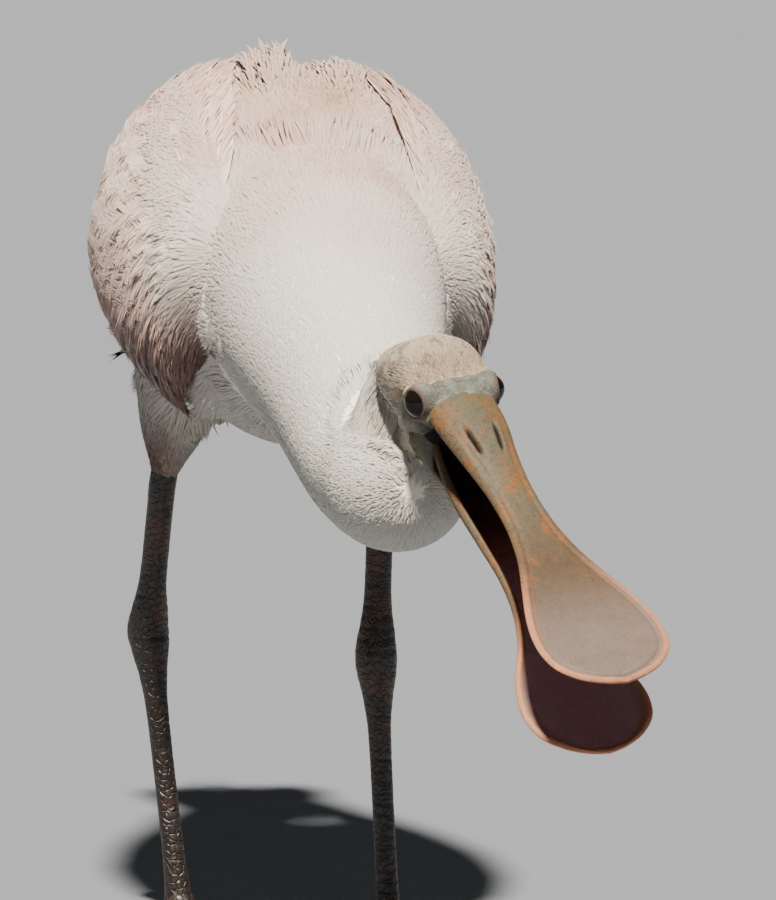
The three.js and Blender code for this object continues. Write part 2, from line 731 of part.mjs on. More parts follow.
const FRONT_TOES = [
  { name: 'inner', length: 0.76, spread: 33 },
  { name: 'middle', length: 1.0, spread: -2 },
  { name: 'outer', length: 0.84, spread: -34 },
];
const HIND_TOE = { name: 'hind', length: 0.5, spread: 176 };
const TOES = [...FRONT_TOES, HIND_TOE];
const KNUCKLE_RADIUS = 6.2;
const FOOT_STUB = 11;           // height of the joint above the toes that belongs to the foot
const CLAW_LENGTH = 9;
const CLAW_GAP = 0.5;

// Direction of a toe, turned out from the way the bird looks
function toeAngle(toe, leg) {
  return THREE.MathUtils.degToRad(toe.spread * leg.inward - leg.turn * leg.inward);
}

// Toe as a tube that lies on the floor and rises to the knuckle
function toeTable(toe, leg) {
  const angle = toeAngle(toe, leg);
  const joints = 4;
  return Array.from({ length: joints + 1 }, (unused, i) => {
    const share = i / joints;
    const radius = TOE_RADIUS * (1 - 0.38 * share);
    const distance = MIDDLE_TOE * toe.length * share;
    const height = radius * 0.95 - TOE_SINK + 3.2 * (1 - share) ** 3;
    return [Math.sin(angle) * distance, -Math.cos(angle) * distance, height, radius, radius * 0.95];
  });
}

function clawTable(toe, leg) {
  const angle = toeAngle(toe, leg);
  const joints = 4;
  return Array.from({ length: joints + 1 }, (unused, i) => {
    const share = i / joints;
    const radius = 1.9 * (1 - share) ** 0.8 + 0.25;
    const distance = MIDDLE_TOE * toe.length + CLAW_GAP + CLAW_LENGTH * share;
    const height = radius + 0.4 + 0.9 * Math.sin(Math.PI * share);
    return [Math.sin(angle) * distance, -Math.cos(angle) * distance, height, radius, radius];
  });
}

// Points on the line of the tarsus and on the line of the shin, in the foot's frame
function legLines(leg) {
  const foot = new THREE.Vector3(...leg.foot, 0);
  const knuckle = new THREE.Vector3(0, 0, KNUCKLE_RADIUS + 0.3);
  const ankle = new THREE.Vector3(...leg.ankle).sub(foot);
  const shin = new THREE.Vector3(...leg.shin).sub(foot);
  const thigh = new THREE.Vector3(...leg.thigh).sub(foot);
  const tarsusWay = ankle.clone().sub(knuckle).normalize();
  const shinWay = shin.clone().sub(ankle).normalize();
  return { foot, knuckle, ankle, shin, thigh, tarsusWay, shinWay };
}

// Row of a tube table at a point
function stop(point, half, depth = half) {
  return [point.x, point.y, point.z, half, depth];
}

function along(point, way, distance) {
  return point.clone().addScaledVector(way, distance);
}

function footSolid(leg) {
  const { knuckle, tarsusWay } = legLines(leg);
  const pieces = TOES.map((toe) => taperTube(toeTable(toe, leg), 6, 1));
  const ball = new THREE.SphereGeometry(KNUCKLE_RADIUS, 8, 6);
  ball.translate(...knuckle.toArray());
  const stub = [
    stop(knuckle, TARSUS_RADIUS + 0.9),
    stop(along(knuckle, tarsusWay, FOOT_STUB), TARSUS_RADIUS + 0.4),
  ];
  return joinAll([...pieces, solidOf(ball), taperTube(stub, 10, 1)]).trimByPlane([0, 0, 1], 0);
}

function tarsusSolid(leg) {
  const { knuckle, ankle, tarsusWay } = legLines(leg);
  return taperTube([
    stop(along(knuckle, tarsusWay, FOOT_STUB + GAP), TARSUS_RADIUS + 0.4),
    stop(along(knuckle, tarsusWay, 30), TARSUS_RADIUS - 0.1),
    stop(along(ankle, tarsusWay, -34), TARSUS_RADIUS),
    stop(along(ankle, tarsusWay, -18), TARSUS_RADIUS + 1.3),
    stop(along(ankle, tarsusWay, -7), ANKLE_RADIUS - 0.8, ANKLE_RADIUS - 0.4),
  ], 10);
}

// Shin with the ankle's swelling at its lower end
function shinSolid(leg, grow = 0) {
  const { ankle, shin, tarsusWay, shinWay } = legLines(leg);
  return taperTube([
    stop(along(ankle, tarsusWay, GAP - 7), ANKLE_RADIUS - 0.8, ANKLE_RADIUS - 0.4),
    stop(ankle, ANKLE_RADIUS, ANKLE_RADIUS + 0.6),
    stop(along(ankle, shinWay, 9), ANKLE_RADIUS - 1.4, ANKLE_RADIUS - 0.6),
    stop(along(ankle, shinWay, 22), TIBIA_RADIUS + 0.2),
    stop(along(shin, shinWay, -14), TIBIA_RADIUS),
    stop(along(shin, shinWay, grow), TIBIA_RADIUS + 0.3 + grow),
  ], 10);
}

// Feathered thigh, wide where it leaves the flank: share of its length, half width, half depth
const THIGH = [
  [0.16, 9.2, 10.4],
  [0.42, 14.5, 18],
  [0.75, 18.5, 26],
  [1, 19, 30],
];
const THIGH_END = 6.6;

function thighSolid(leg) {
  const { shin, thigh, shinWay } = legLines(leg);
  const way = thigh.clone().sub(shin);
  const rows = THIGH.map(([share, half, depth]) => stop(along(shin, way, share), half, depth));
  return taperTube([stop(along(shin, shinWay, -1), THIGH_END), ...rows], 12).subtract(shinSolid(leg, GAP));
}

function addLeg(name, leg, room) {
  const group = new THREE.Group();
  group.position.set(...leg.foot, 0);
  bird.add(group);
  bird.updateMatrixWorld(true);
  place(group, `thigh_${name}`, thighSolid(leg).subtract(across(room, bird, group)), COLOURS.plumage);
  place(group, `shin_${name}`, shinSolid(leg), COLOURS.leg, 0.6);
  place(group, `tarsus_${name}`, tarsusSolid(leg), COLOURS.leg, 0.6);
  place(group, `foot_${name}`, footSolid(leg), COLOURS.leg, 0.6);
  for (const toe of TOES) {
    place(group, `claw_${name}_${toe.name}`, taperTube(clawTable(toe, leg), 6, 1), COLOURS.claw, 0.4);
  }
}

// Trunk and neck are modelled whole and parted with thin cuts
const rootPlane = crossPlane(LOWER_NECK, NECK_ROOT);
const topPlane = crossPlane(UPPER_NECK, NECK_TOP);
const neck = neckSolid();
const torso = pastPlane(across(trunkSolid(), trunkGroup, bird).add(neck), rootPlane, -1);
const torsoRoom = across(trunkSolid(GAP), trunkGroup, bird).add(neckSolid(GAP));
const billRoom = across(lowerBillSolid(BILL_ROOM), headGroup, bird);
const skullRoom = across(sectionBody(SKULL, 14, 16, GAP), headGroup, bird);
const nape = pastPlane(pastPlane(neck, bendPlane(), 1), topPlane, 1);
const headRoom = joinAll([skullRoom, billRoom]);
const throat = pastPlane(pastPlane(pastPlane(neck, rootPlane, 1), bendPlane(), 1), topPlane, -1);
const lowerNeck = pastPlane(pastPlane(neck, rootPlane, 1), bendPlane(), -1);

place(trunkGroup, 'torso', across(torso, bird, trunkGroup), COLOURS.plumage);
place(bird, 'neck_lower', lowerNeck.subtract(headRoom), COLOURS.plumage);
place(bird, 'neck_upper', throat.subtract(headRoom), COLOURS.plumage);
place(headGroup, 'head', headSolid(across(nape, bird, headGroup)), COLOURS.plumage);
place(headGroup, 'bill_upper', upperBillSolid(), COLOURS.bill, 0.5);
place(headGroup, 'bill_lower', lowerBillSolid(), COLOURS.bill, 0.5);
const trunkRoom = across(torsoRoom, bird, trunkGroup);
let bodyRoom = trunkRoom;
for (const [name, side] of [['left', 1], ['right', -1]]) {
  const wing = wingSolid(side, WING_SEEDS[name]).subtract(trunkRoom);
  bodyRoom = bodyRoom.add(wingRoom(side));
  place(headGroup, `eye_${name}`, eyeSolid(side), COLOURS.eye, 0.1);
  place(trunkGroup, `wing_${name}`, wing, COLOURS.pink);
}
place(trunkGroup, 'tail', tailSolid().subtract(trunkRoom), COLOURS.pink);
const legRoom = across(bodyRoom, trunkGroup, bird);
for (const [name, leg] of Object.entries(LEGS)) addLeg(name, leg, legRoom);

// The origin is on the floor, under the middle of the whole bird
const model = new THREE.Group();
model.add(bird);
const box = new THREE.Box3().setFromObject(bird, true);
bird.position.set(-(box.min.x + box.max.x) / 2, -(box.min.y + box.max.y) / 2, -box.min.z);

export default model;
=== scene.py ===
import math

import bpy
import numpy as np
from mathutils import Matrix, Vector


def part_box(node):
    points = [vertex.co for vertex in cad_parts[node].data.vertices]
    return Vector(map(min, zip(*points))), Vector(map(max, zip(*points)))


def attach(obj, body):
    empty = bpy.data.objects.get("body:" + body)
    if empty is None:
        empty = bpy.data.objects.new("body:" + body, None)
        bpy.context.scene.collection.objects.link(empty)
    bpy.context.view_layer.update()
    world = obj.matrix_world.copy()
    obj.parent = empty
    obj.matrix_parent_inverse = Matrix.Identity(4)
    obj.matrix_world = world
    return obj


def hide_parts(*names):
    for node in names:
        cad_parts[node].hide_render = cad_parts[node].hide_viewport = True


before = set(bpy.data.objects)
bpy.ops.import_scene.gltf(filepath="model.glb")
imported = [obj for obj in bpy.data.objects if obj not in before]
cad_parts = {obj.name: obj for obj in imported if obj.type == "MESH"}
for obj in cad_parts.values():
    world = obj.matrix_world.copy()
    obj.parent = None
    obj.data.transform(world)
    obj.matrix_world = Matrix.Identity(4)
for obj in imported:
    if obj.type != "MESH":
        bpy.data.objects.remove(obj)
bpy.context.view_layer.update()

bl_info = {
    "name": "Roseate Spoonbill",
    "version": (1, 0, 0),
    "blender": (4, 5, 0),
    "location": "3D View > Sidebar > Spoonbill",
    "description": "Plumage, bill, eyes and legs of a feeding roseate spoonbill over its solid model",
    "category": "Add Mesh",
}

MM = 0.001
SIDES = {"left": 1, "right": -1}

# Pose. Sizes are millimetres in the bird's own frame: it looks along -Y and +X is its left
TRUNK_CENTRE = np.array([4.0, -5.0, 262.0])
FOREHEAD = np.array([28.8, -236.9, 239.5])
TRUNK_PITCH = 9.0
TRUNK_ROLL = 3.5
HEAD_PITCH = 37.8
HEAD_ROLL = -9.0
HEAD_YAW = 22.7

# Trunk sections: distance back, half width, top, bottom
TRUNK = [
    (-106, 5, -8, -16),
    (-99, 25, 9, -33),
    (-80, 43, 27, -53),
    (-50, 53, 42, -67),
    (-20, 59, 56, -73),
    (15, 61, 62, -76),
    (50, 59, 59, -74),
    (85, 52, 46, -65),
    (115, 40, 31, -52),
    (140, 25, 14, -38),
    (156, 6, -6, -20),
]
# Neck: centre, half width, half depth. The lower neck runs from the breast to the bottom of the loop
LOWER_NECK = [
    (3, -56, 252, 46, 42),
    (4, -94, 240, 44, 41),
    (7, -136, 222, 37, 36),
    (10.5, -174, 202, 32, 30),
    (13, -202, 196, 29, 27),
]
UPPER_NECK = [
    (13, -199, 196, 28, 26.5),
    (15.5, -199, 212, 22.5, 21),
    (18, -195, 228, 19.5, 18),
    (20, -192, 240, 14, 13),
]
# Fill of the hollow between breast and neck: centre, half width, half depth
COLLAR = [
    (3, -38, 257, 52, 52),
    (3.5, -70, 251, 48.8, 48.5),
    (4.5, -100, 237.8, 43.8, 41.8),
    (6.3, -125, 226.8, 38.4, 36.8),
    (8.4, -152, 214, 32, 31),
]
# Head sections: distance back from the forehead feathers, half width, top, bottom
SKULL = [
    (-13, 13.8, -0.4, -17),
    (-8, 15.8, 0.6, -21),
    (-1, 17.4, 2.0, -26),
    (5, 18.6, 5.4, -27.5),
    (11, 19.3, 6.6, -29),
    (18, 18.8, 4.0, -30.5),
    (24.5, 17.2, -1.6, -30.5),
    (30.5, 14.2, -8.8, -29.5),
    (35.5, 9.6, -15.5, -27),
    (38, 3.2, -19.5, -23),
]
# Folded wing sections: distance back, half width, middle height, rise, drop
WING = [
    (-75, 53, -10, 38, 52),
    (-50, 65, -12, 54, 56),
    (-20, 72.5, -13, 67, 58),
    (15, 75.5, -14, 76, 58),
    (50, 75, -14, 75, 54),
    (85, 69.5, -13, 66, 48),
    (120, 60, -9, 50, 38),
    (160, 47, -6, 34, 27),
    (200, 34, -7, 23, 18),
    (256, 19, -11, 13, 11),
]
# Folded wing edges: distance back, upper edge from the midline, lower edge height
WING_EDGE = [
    (-75, 45, -30),
    (-50, 43, -56),
    (-20, 41, -60),
    (15, 39, -56),
    (50, 34, -47),
    (85, 25, -36),
    (120, 14, -26),
    (160, 8, -19),
    (200, 6, -16),
    (256, 8, -17),
]
WING_ROUND = 0.86
WING_FRONT = -68.0
ARM_REAR = 60.0
ARM_SLANT = 34.0
ARM_CURVE = 22.0

# Upper bill sections: distance forward, half width, ridge height, edge height
UPPER_BILL = [
    (2, 13.4, 0.8, -13.8),
    (13.4, 13.8, 0.8, -13.4),
    (24, 13.2, 0.6, -12.8),
    (38, 10.9, -1.3, -12.0),
    (55, 9.1, -3.0, -10.0),
    (72, 9.5, -4.0, -8.2),
    (88, 12.4, -4.0, -7.4),
    (102, 17.1, -3.6, -7.0),
    (115, 21.8, -2.9, -6.2),
    (126, 24.6, -2.4, -5.6),
    (136, 25.2, -2.0, -5.1),
    (145, 22.8, -1.6, -4.6),
    (152, 16.2, -1.5, -4.1),
    (156, 7.8, -1.6, -3.7),
    (157.6, 0.8, -1.9, -3.2),
]
# Lower bill sections: distance forward, half width, edge height, underside, trough
LOWER_BILL = [
    (5, 5.4, -20.4, -27, 3.5),
    (10, 7.6, -20.6, -28.4, 5),
    (20, 9.7, -21.4, -29.6, 6.5),
    (38, 11.1, -23.2, -30.4, 5.8),
    (58, 10, -25.4, -31.2, 4.6),
    (75, 9.2, -27.0, -31.6, 3.4),
    (90, 10.2, -29.2, -33.2, 2.6),
    (104, 14, -31.6, -35.4, 2.4),
    (117, 20.6, -33.6, -37.2, 2.3),
    (128, 24.2, -34.8, -38.2, 2.2),
    (137, 25.2, -35.6, -38.8, 2.1),
    (146, 22.8, -36.2, -39.2, 2.0),
    (153, 16, -36.6, -39.4, 1.7),
    (157, 8, -36.8, -39.4, 1.0),
    (158.6, 0.8, -37.4, -38.8, 0.3),
]
# Nostril slit in the upper bill: side, distance forward, half length, half width, depth
NOSTRIL = {"side": 5.0, "forward": 31.0, "half": 6.2, "width": 0.85, "depth": 2.2, "slant": -0.12}

EYE_NODE_CENTRE = np.array([0.0, -3.4, -5.6])
EYE_CENTRE = np.array([13.2, -3.8, -5.5])
EYE_LOOK = np.array([0.96, -0.22, 0.14])
EYE_RADIUS = 6.5
EYE_OPENING = 5.6

# Edge of the bare face: height on the head, distance back where the feathers begin
FEATHER_LINE = [
    (-37, -12.5),
    (-29, -6.0),
    (-23, -1.5),
    (-15, 0.6),
    (-10, 2.2),
    (-6, 2.9),
    (-2, 1.4),
    (0, -2.0),
    (3, -1.1),
]

LEGS = {
    "right": {"foot": (-40, 22), "ankle": (-50.3, 35, 112), "shin": (-47.3, 12, 172), "thigh": (-40, 2, 222),
              "inward": 1, "turn": 8},
    "left": {"foot": (28, -76), "ankle": (23, -75, 114.9), "shin": (25, -73, 172), "thigh": (29, -66, 224),
             "inward": -1, "turn": 14},
}
# Thigh: share of its length from the shin, half width, half depth
THIGH = [
    (0.0, 6.4, 6.8),
    (0.16, 9.2, 10.4),
    (0.42, 14.5, 18),
    (0.75, 18.5, 26),
    (1.0, 19, 30),
]
TOE_RADIUS = 3.6
TOE_SINK = 0.5
MIDDLE_TOE = 74.0
KNUCKLE_RADIUS = 6.2
KNUCKLE_HEIGHT = 6.5
CLAW_LENGTH = 9.0
CLAW_GAP = 0.5
# Toes: share of the middle toe's length, angle outward
TOES = {"inner": (0.76, 33), "middle": (1.0, -2), "outer": (0.84, -34), "hind": (0.5, 176)}

# Camera, at the photograph's angle
CAMERA_TURN = -8.0
CAMERA_RISE = 7.0
CAMERA_DISTANCE = 6000.0
CAMERA_TARGET = np.array([35.4, -19.6, 186.3])
CAMERA_LENS = 628.3
SENSOR = 36.0


def turn(axis, degrees):
    """Matrix that turns about an axis: 0 is X, 1 is Y and 2 is Z."""
    first, second = (axis + 1) % 3, (axis + 2) % 3
    matrix = np.eye(3)
    matrix[first, first] = matrix[second, second] = math.cos(math.radians(degrees))
    matrix[second, first] = math.sin(math.radians(degrees))
    matrix[first, second] = -matrix[second, first]
    return matrix


TRUNK_TURN = turn(0, TRUNK_PITCH) @ turn(1, TRUNK_ROLL)
HEAD_TURN = turn(2, HEAD_YAW) @ turn(0, HEAD_PITCH) @ turn(1, HEAD_ROLL)


def from_trunk(points):
    """Trunk frame to bird frame: turn, then move to the trunk's centre."""
    return points @ TRUNK_TURN.T + TRUNK_CENTRE


def to_trunk(points):
    """Bird frame to trunk frame."""
    return (points - TRUNK_CENTRE) @ TRUNK_TURN


def from_head(points):
    """Head frame to bird frame: turn, then move to the forehead."""
    return points @ HEAD_TURN.T + FOREHEAD


def to_head(points):
    """Bird frame to head frame."""
    return (points - FOREHEAD) @ HEAD_TURN


def box_centre(node):
    """Middle of a CAD node's box, in millimetres."""
    low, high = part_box(node)
    return (np.array(low) + np.array(high)) / 2 / MM


# The bird's frame is moved so that the eyes come where the solid model has them
EYES_MIDDLE = (box_centre("eye_left") + box_centre("eye_right")) / 2
SHIFT = EYES_MIDDLE - from_head(EYE_NODE_CENTRE)


def unit(vectors):
    """Vectors over their lengths."""
    return vectors / np.maximum(np.linalg.norm(vectors, axis=-1, keepdims=True), 1e-9)


def smooth(low, high, values):
    """Smooth step: 3t^2 - 2t^3 of the share t between low and high."""
    t = np.clip((values - low) / (high - low), 0.0, 1.0)
    return t * t * (3.0 - 2.0 * t)


def stations(table, at):
    """Smooth rows of a table at fractional row numbers: a cubic through the rows with central slopes."""
    rows = np.asarray(table, float)
    last = len(rows) - 1
    at = np.clip(np.asarray(at, float), 0, last)
    i = np.minimum(at.astype(int), last - 1)
    t = (at - i)[..., None]
    here, ahead = rows[i], rows[i + 1]
    slope0 = (ahead - rows[np.maximum(i - 1, 0)]) / 2
    slope1 = (rows[np.minimum(i + 2, last)] - here) / 2
    t2, t3 = t * t, t * t * t
    return (here * (2 * t3 - 3 * t2 + 1) + slope0 * (t3 - 2 * t2 + t)
            + ahead * (3 * t2 - 2 * t3) + slope1 * (t3 - t2))


def table_at(table, place):
    """Smooth rows of a table at places measured in its first column."""
    firsts = np.array([row[0] for row in table], float)
    place = np.asarray(place, float)
    i = np.clip(np.searchsorted(firsts, place, side="right") - 1, 0, len(firsts) - 2)
    t = np.clip((place - firsts[i]) / (firsts[i + 1] - firsts[i]), 0, 1)
    return stations(table, i + t)


def power(values, exponent):
    """Signed power, which rounds or squares a circle's sine and cosine."""
    return np.sign(values) * np.abs(values) ** exponent


def hash_noise(points, scale, seed=0.0):
    """Smooth value noise from -1 to 1: random corners of a grid, blended by smooth steps."""
    cell = points / scale + seed * 17.31
    low = np.floor(cell)
    part = cell - low
    blend = part * part * (3 - 2 * part)
    total = 0.0
    for corner in np.ndindex(2, 2, 2):
        corner = np.array(corner, float)
        key = (low + corner) @ np.array([127.1, 311.7, 74.7])
        value = np.modf(np.sin(key) * 43758.5453)[0]
        weight = np.prod(np.where(corner > 0, blend, 1 - blend), axis=-1)
        total = total + value * weight
    return total


def fine_noise(points, scale, seed=0.0):
    """Two octaves of value noise."""
    return 0.67 * hash_noise(points, scale, seed) + 0.33 * hash_noise(points, scale * 0.43, seed + 3.0)


def tube(rings):
    """Closed skin through rings (rows, around, 3). Each end is closed by a fan round its middle."""
    rows, around = rings.shape[:2]
    points = np.concatenate([rings.reshape(-1, 3), rings[:1].mean(axis=1), rings[-1:].mean(axis=1)])
    i = np.arange(rows - 1)[:, None] * around
    j = np.arange(around)
    k = (j + 1) % around
    quads = np.stack([i + j, i + k, i + around + k, i + around + j], axis=-1).reshape(-1, 4)
    start = np.full(around, rows * around)
    end = (rows - 1) * around
    low = np.stack([k, j, start], axis=-1)
    high = np.stack([end + j, end + k, start + 1], axis=-1)
    return points, [quads, np.concatenate([low, high])]


def sheet_faces(rows, columns):
    """Quads of an open grid of rows by columns of points."""
    i, j = np.meshgrid(np.arange(rows - 1), np.arange(columns - 1), indexing="ij")
    a = (i * columns + j).ravel()
    return np.stack([a, a + 1, a + columns + 1, a + columns], axis=-1)


def closed_sheet(outer, inner):
    """Closed plate between two grids (rows, columns, 3), sewn along their edges."""
    rows, columns = outer.shape[:2]
    count = rows * columns
    points = np.concatenate([outer.reshape(-1, 3), inner.reshape(-1, 3)])
    front = sheet_faces(rows, columns)
    grid = np.arange(count).reshape(rows, columns)
    loop = np.concatenate([grid[0, :-1], grid[:-1, -1], grid[-1, :0:-1], grid[:0:-1, 0]])
    after = np.roll(loop, -1)
    sides = np.stack([after, loop, loop + count, after + count], axis=-1)
    return points, [front, front[:, ::-1] + count, sides]


def join(parts):
    """Several (points, faces) as one."""
    points, faces, base = [], [], 0
    for part_points, part_faces in parts:
        points.append(part_points)
        faces += [face + base for face in part_faces]
        base += len(part_points)
    return np.concatenate(points), faces


def outward(points, faces):
    """Faces turned so that the volume they close is positive."""
    volume = 0.0
    for face in faces:
        a = points[face[:, 0]]
        for k in range(1, face.shape[1] - 1):
            volume += np.einsum("ij,ij->", a, np.cross(points[face[:, k]], points[face[:, k + 1]]))
    return faces if volume > 0 else [face[:, ::-1] for face in faces]


def add_numbers(mesh, attributes):
    """Numbers for each point of a mesh, by name."""
    for key, values in attributes.items():
        layer = mesh.attributes.new(key, "FLOAT", "POINT")
        layer.data.foreach_set("value", np.asarray(values, np.float32))


def set_points(mesh, points):
    """Points in the bird's frame put into the mesh, in metres and shifted onto the solid model."""
    mesh.vertices.foreach_set("co", ((points + SHIFT) * MM).astype(np.float32).ravel())


def new_mesh(name, points, faces, attributes=None, patches=None, normals=None):
    """Mesh from points in the bird's frame and arrays of faces, with numbers for each point.

    Given normals shade the points as if they lay on the form beneath them.
    """
    sizes = np.concatenate([np.full(len(face), face.shape[1]) for face in faces])
    corners = np.concatenate([face.ravel() for face in faces]).astype(np.int32)
    mesh = bpy.data.meshes.new(name)
    mesh.vertices.add(len(points))
    set_points(mesh, points)
    mesh.loops.add(len(corners))
    mesh.loops.foreach_set("vertex_index", corners)
    mesh.polygons.add(len(sizes))
    mesh.polygons.foreach_set("loop_start", np.concatenate([[0], np.cumsum(sizes)[:-1]]).astype(np.int32))
    mesh.polygons.foreach_set("use_smooth", np.ones(len(sizes), bool))
    mesh.update(calc_edges=True)
    add_numbers(mesh, attributes or {})
    if patches is not None:
        layer = mesh.uv_layers.new(name="OFBake")
        layer.data.foreach_set("uv", patches[corners].astype(np.float32).ravel())
    if normals is not None:
        mesh.normals_split_custom_set_from_vertices(unit(normals))
    return mesh


def add_piece(name, mesh, material, replaced=()):
    """Piece that rides on the body and may stand for CAD nodes."""
    piece = bpy.data.objects.new(name, mesh)
    bpy.context.scene.collection.objects.link(piece)
    mesh.materials.clear()
    mesh.materials.append(material)
    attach(piece, "root")
    if replaced:
        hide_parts(*replaced)
    return piece


def add_tube(name, grid, attributes, material, replaced=()):
    """Piece of face or bill from rings in the head's frame. Its end points take their neighbours' numbers."""
    points, faces = tube(grid)
    attributes = {key: np.append(value, [value[0], value[-1]]) for key, value in attributes.items()}
    mesh = new_mesh(name, from_head(points), outward(points, faces), attributes)
    add_piece(name, mesh, material, replaced)


def melt(name, parts, voxel, smoothing):
    """Closed parts melted into one skin by a remesh with cells of that size, then smoothed so many times."""
    rough = bpy.data.objects.new(f"rough_{name}", new_mesh(f"rough_{name}", *join([
        (points, outward(points, faces)) for points, faces in parts])))
    bpy.context.scene.collection.objects.link(rough)
    remesh = rough.modifiers.new("melt", "REMESH")
    remesh.mode = "VOXEL"
    remesh.voxel_size = voxel * MM
    relax = rough.modifiers.new("relax", "SMOOTH")
    relax.factor = 0.5
    relax.iterations = smoothing
    mesh = bpy.data.meshes.new_from_object(rough.evaluated_get(bpy.context.evaluated_depsgraph_get()))
    bpy.data.objects.remove(rough)
    mesh.name = name
    mesh.polygons.foreach_set("use_smooth", np.ones(len(mesh.polygons), bool))
    return mesh


# Shapes

def cross_ring(places, halves, tops, bottoms, around, exponent=1.0):
    """Rings across Y: half width times cosine to the side, middle plus height times sine up."""
    angle = np.linspace(0, 2 * np.pi, around, endpoint=False)
    exponent = np.reshape(exponent, (-1, 1))
    x = np.asarray(halves)[:, None] * power(np.cos(angle)[None], exponent)
    middle = (np.asarray(tops) + np.asarray(bottoms)) / 2
    height = (np.asarray(tops) - np.asarray(bottoms)) / 2
    z = middle[:, None] + height[:, None] * power(np.sin(angle)[None], exponent)
    y = np.broadcast_to(np.asarray(places, float)[:, None], x.shape)
    return np.stack([x, y, z], axis=-1)


def section_rings(table, rows, around, inset=0.0):
    """Rings of a body of cross sections, drawn in by the inset all round."""
    place, half, top, bottom = stations(table, np.linspace(0, len(table) - 1, rows)).T
    ends = inset * (1 - 2 * np.linspace(0, 1, rows))
    return cross_ring(place + ends, np.maximum(half - inset, 1), top - inset, bottom + inset, around)


def path_rings(table, rows, around, inset=0.0):
    """Rings across a path of centres, half widths and half depths."""
    at = np.linspace(0, len(table) - 1, rows)
    values = stations(table, at)
    way = unit(stations(table, at + 0.02)[:, :3] - stations(table, at - 0.02)[:, :3])
    side = np.array([1.0, 0.0, 0.0])
    first = unit(side - way * (way @ side)[:, None])
    second = np.cross(way, first)
    angle = np.linspace(0, 2 * np.pi, around, endpoint=False)
    half = np.maximum(values[:, 3] - inset, 0.3)[:, None, None]
    depth = np.maximum(values[:, 4] - inset, 0.3)[:, None, None]
    return (values[:, None, :3] + first[:, None] * half * np.cos(angle)[:, None]
            + second[:, None] * depth * np.sin(angle)[:, None])


def ball(centre, radii, rows=24, around=32):
    """Ellipsoid as rings along Z."""
    polar = np.linspace(0.02, np.pi - 0.02, rows)[:, None]
    angle = np.linspace(0, 2 * np.pi, around, endpoint=False)[None]
    shape = np.stack([np.sin(polar) * np.cos(angle), np.sin(polar) * np.sin(angle),
                      np.broadcast_to(np.cos(polar), (rows, around))], axis=-1)
    return np.asarray(centre) + shape * np.asarray(radii)


def wing_point(back, share, side, lift=0.0):
    """Point on a folded wing's outer face in the trunk frame.

    The section is a rounded half ellipse at the distance back. Share runs from its upper to its lower edge.
    """
    back, share, lift = np.broadcast_arrays(np.asarray(back, float), np.asarray(share, float),
                                            np.asarray(lift, float))
    half, middle, rise, drop = np.moveaxis(table_at(WING, back), -1, 0)[1:]
    upper, lower = np.moveaxis(table_at(WING_EDGE, back), -1, 0)[1:]
    first = np.arcsin(np.minimum((upper / half) ** (1 / WING_ROUND), 1))
    below = (lower - middle) / np.where(lower < middle, drop, rise)
    last = np.arccos(np.clip(below, -1, 1))
    angle = first + (last - first) * share
    sine, cosine = np.sin(angle), np.cos(angle)
    height = np.where(cosine < 0, drop, rise)
    exponent = np.where(cosine < 0, 1.0, WING_ROUND)
    return np.stack([side * (half + lift) * power(sine, exponent), back,
                     middle + (height + lift) * power(cosine, exponent)], axis=-1)


def arm_sheet(side, inset):
    """Fleshy arm of the folded wing, under the roots of its feathers."""
    row = np.linspace(0, 1, 22)[:, None]
    share = np.linspace(0, 1, 30)[None]
    front = WING_FRONT + ARM_CURVE * (2 * share - 1.1) ** 2
    back = front + (ARM_REAR - ARM_SLANT * share - front) * row
    thick = 1 + 9 * np.sin(np.pi * (0.06 + 0.88 * share)) ** 0.6
    thick = thick * np.sin(np.pi * np.minimum(0.5, 0.12 + row * 1.4)) * (1 - 0.75 * row ** 2)
    outer = wing_point(back, share, side, -4 - inset)
    inner = wing_point(back, share, side, -4 - inset - np.maximum(thick, 1.5))
    return closed_sheet(from_trunk(outer), from_trunk(inner))


def pad_sink(back, share):
    """Depth of the wing's cushion under the wing's outer face."""
    edges = 6 * smooth(-63, -86, back) + 8 * smooth(50, 100, back) + 5 * smooth(0.75, 1.0, share)
    return 3.6 + edges + 8 * smooth(-25, 15, back) * smooth(0.15, 0.35, share)


def wing_pad(side):
    """Cushion between a folded wing and the trunk, that carries the skin on under the wing's edges."""
    back = np.linspace(-90, 104, 48)[:, None]
    share = np.linspace(-0.19, 1.0, 44)[None]
    outer = wing_point(back, share, side, -pad_sink(back, share))
    return closed_sheet(from_trunk(outer), from_trunk(outer * np.array([0.3, 1.0, 0.4])))


def squareness(back):
    """Exponent of the head's sections: round in front and behind, squarer over the brows."""
    return 1 - 0.28 * np.exp(-((back + 2) / 9.0) ** 2)


def skull_rings(rows, around, inset, first):
    """Rings of the head in its own frame, from a place in its table on."""
    place, half, top, bottom = stations(SKULL, np.linspace(first, len(SKULL) - 1, rows)).T
    ends = inset * (1 - 2 * np.linspace(0, 1, rows))
    return cross_ring(place + ends, np.maximum(half - inset, 1), top - inset, bottom + inset, around,
                      squareness(place))


# Skin that wraps the lower bill's root: distance back from the forehead, half width, top, bottom
JAW = [
    (-31, 4.6, -29.4, -31.4),
    (-27, 7.6, -28.6, -32.4),
    (-21, 8.8, -27.8, -33.4),
    (-15, 9.8, -26.0, -34.2),
    (-10, 11.6, -22.6, -34.6),
    (-6, 13.2, -18.6, -34.6),
    (0, 14.8, -15, -34.6),
    (7, 15.4, -15, -33),
    (16, 6, -22, -30),
]


def thigh_table(leg):
    """Path table of a feathered thigh, from the shin up to the flank."""
    shin, top = np.array(leg["shin"], float), np.array(leg["thigh"], float)
    return [(*(shin + (top - shin) * share), half, depth) for share, half, depth in THIGH]


# Skin and the lie of the plumage

SKIN_VOXEL = 1.7
SKIN_SMOOTHING = 12
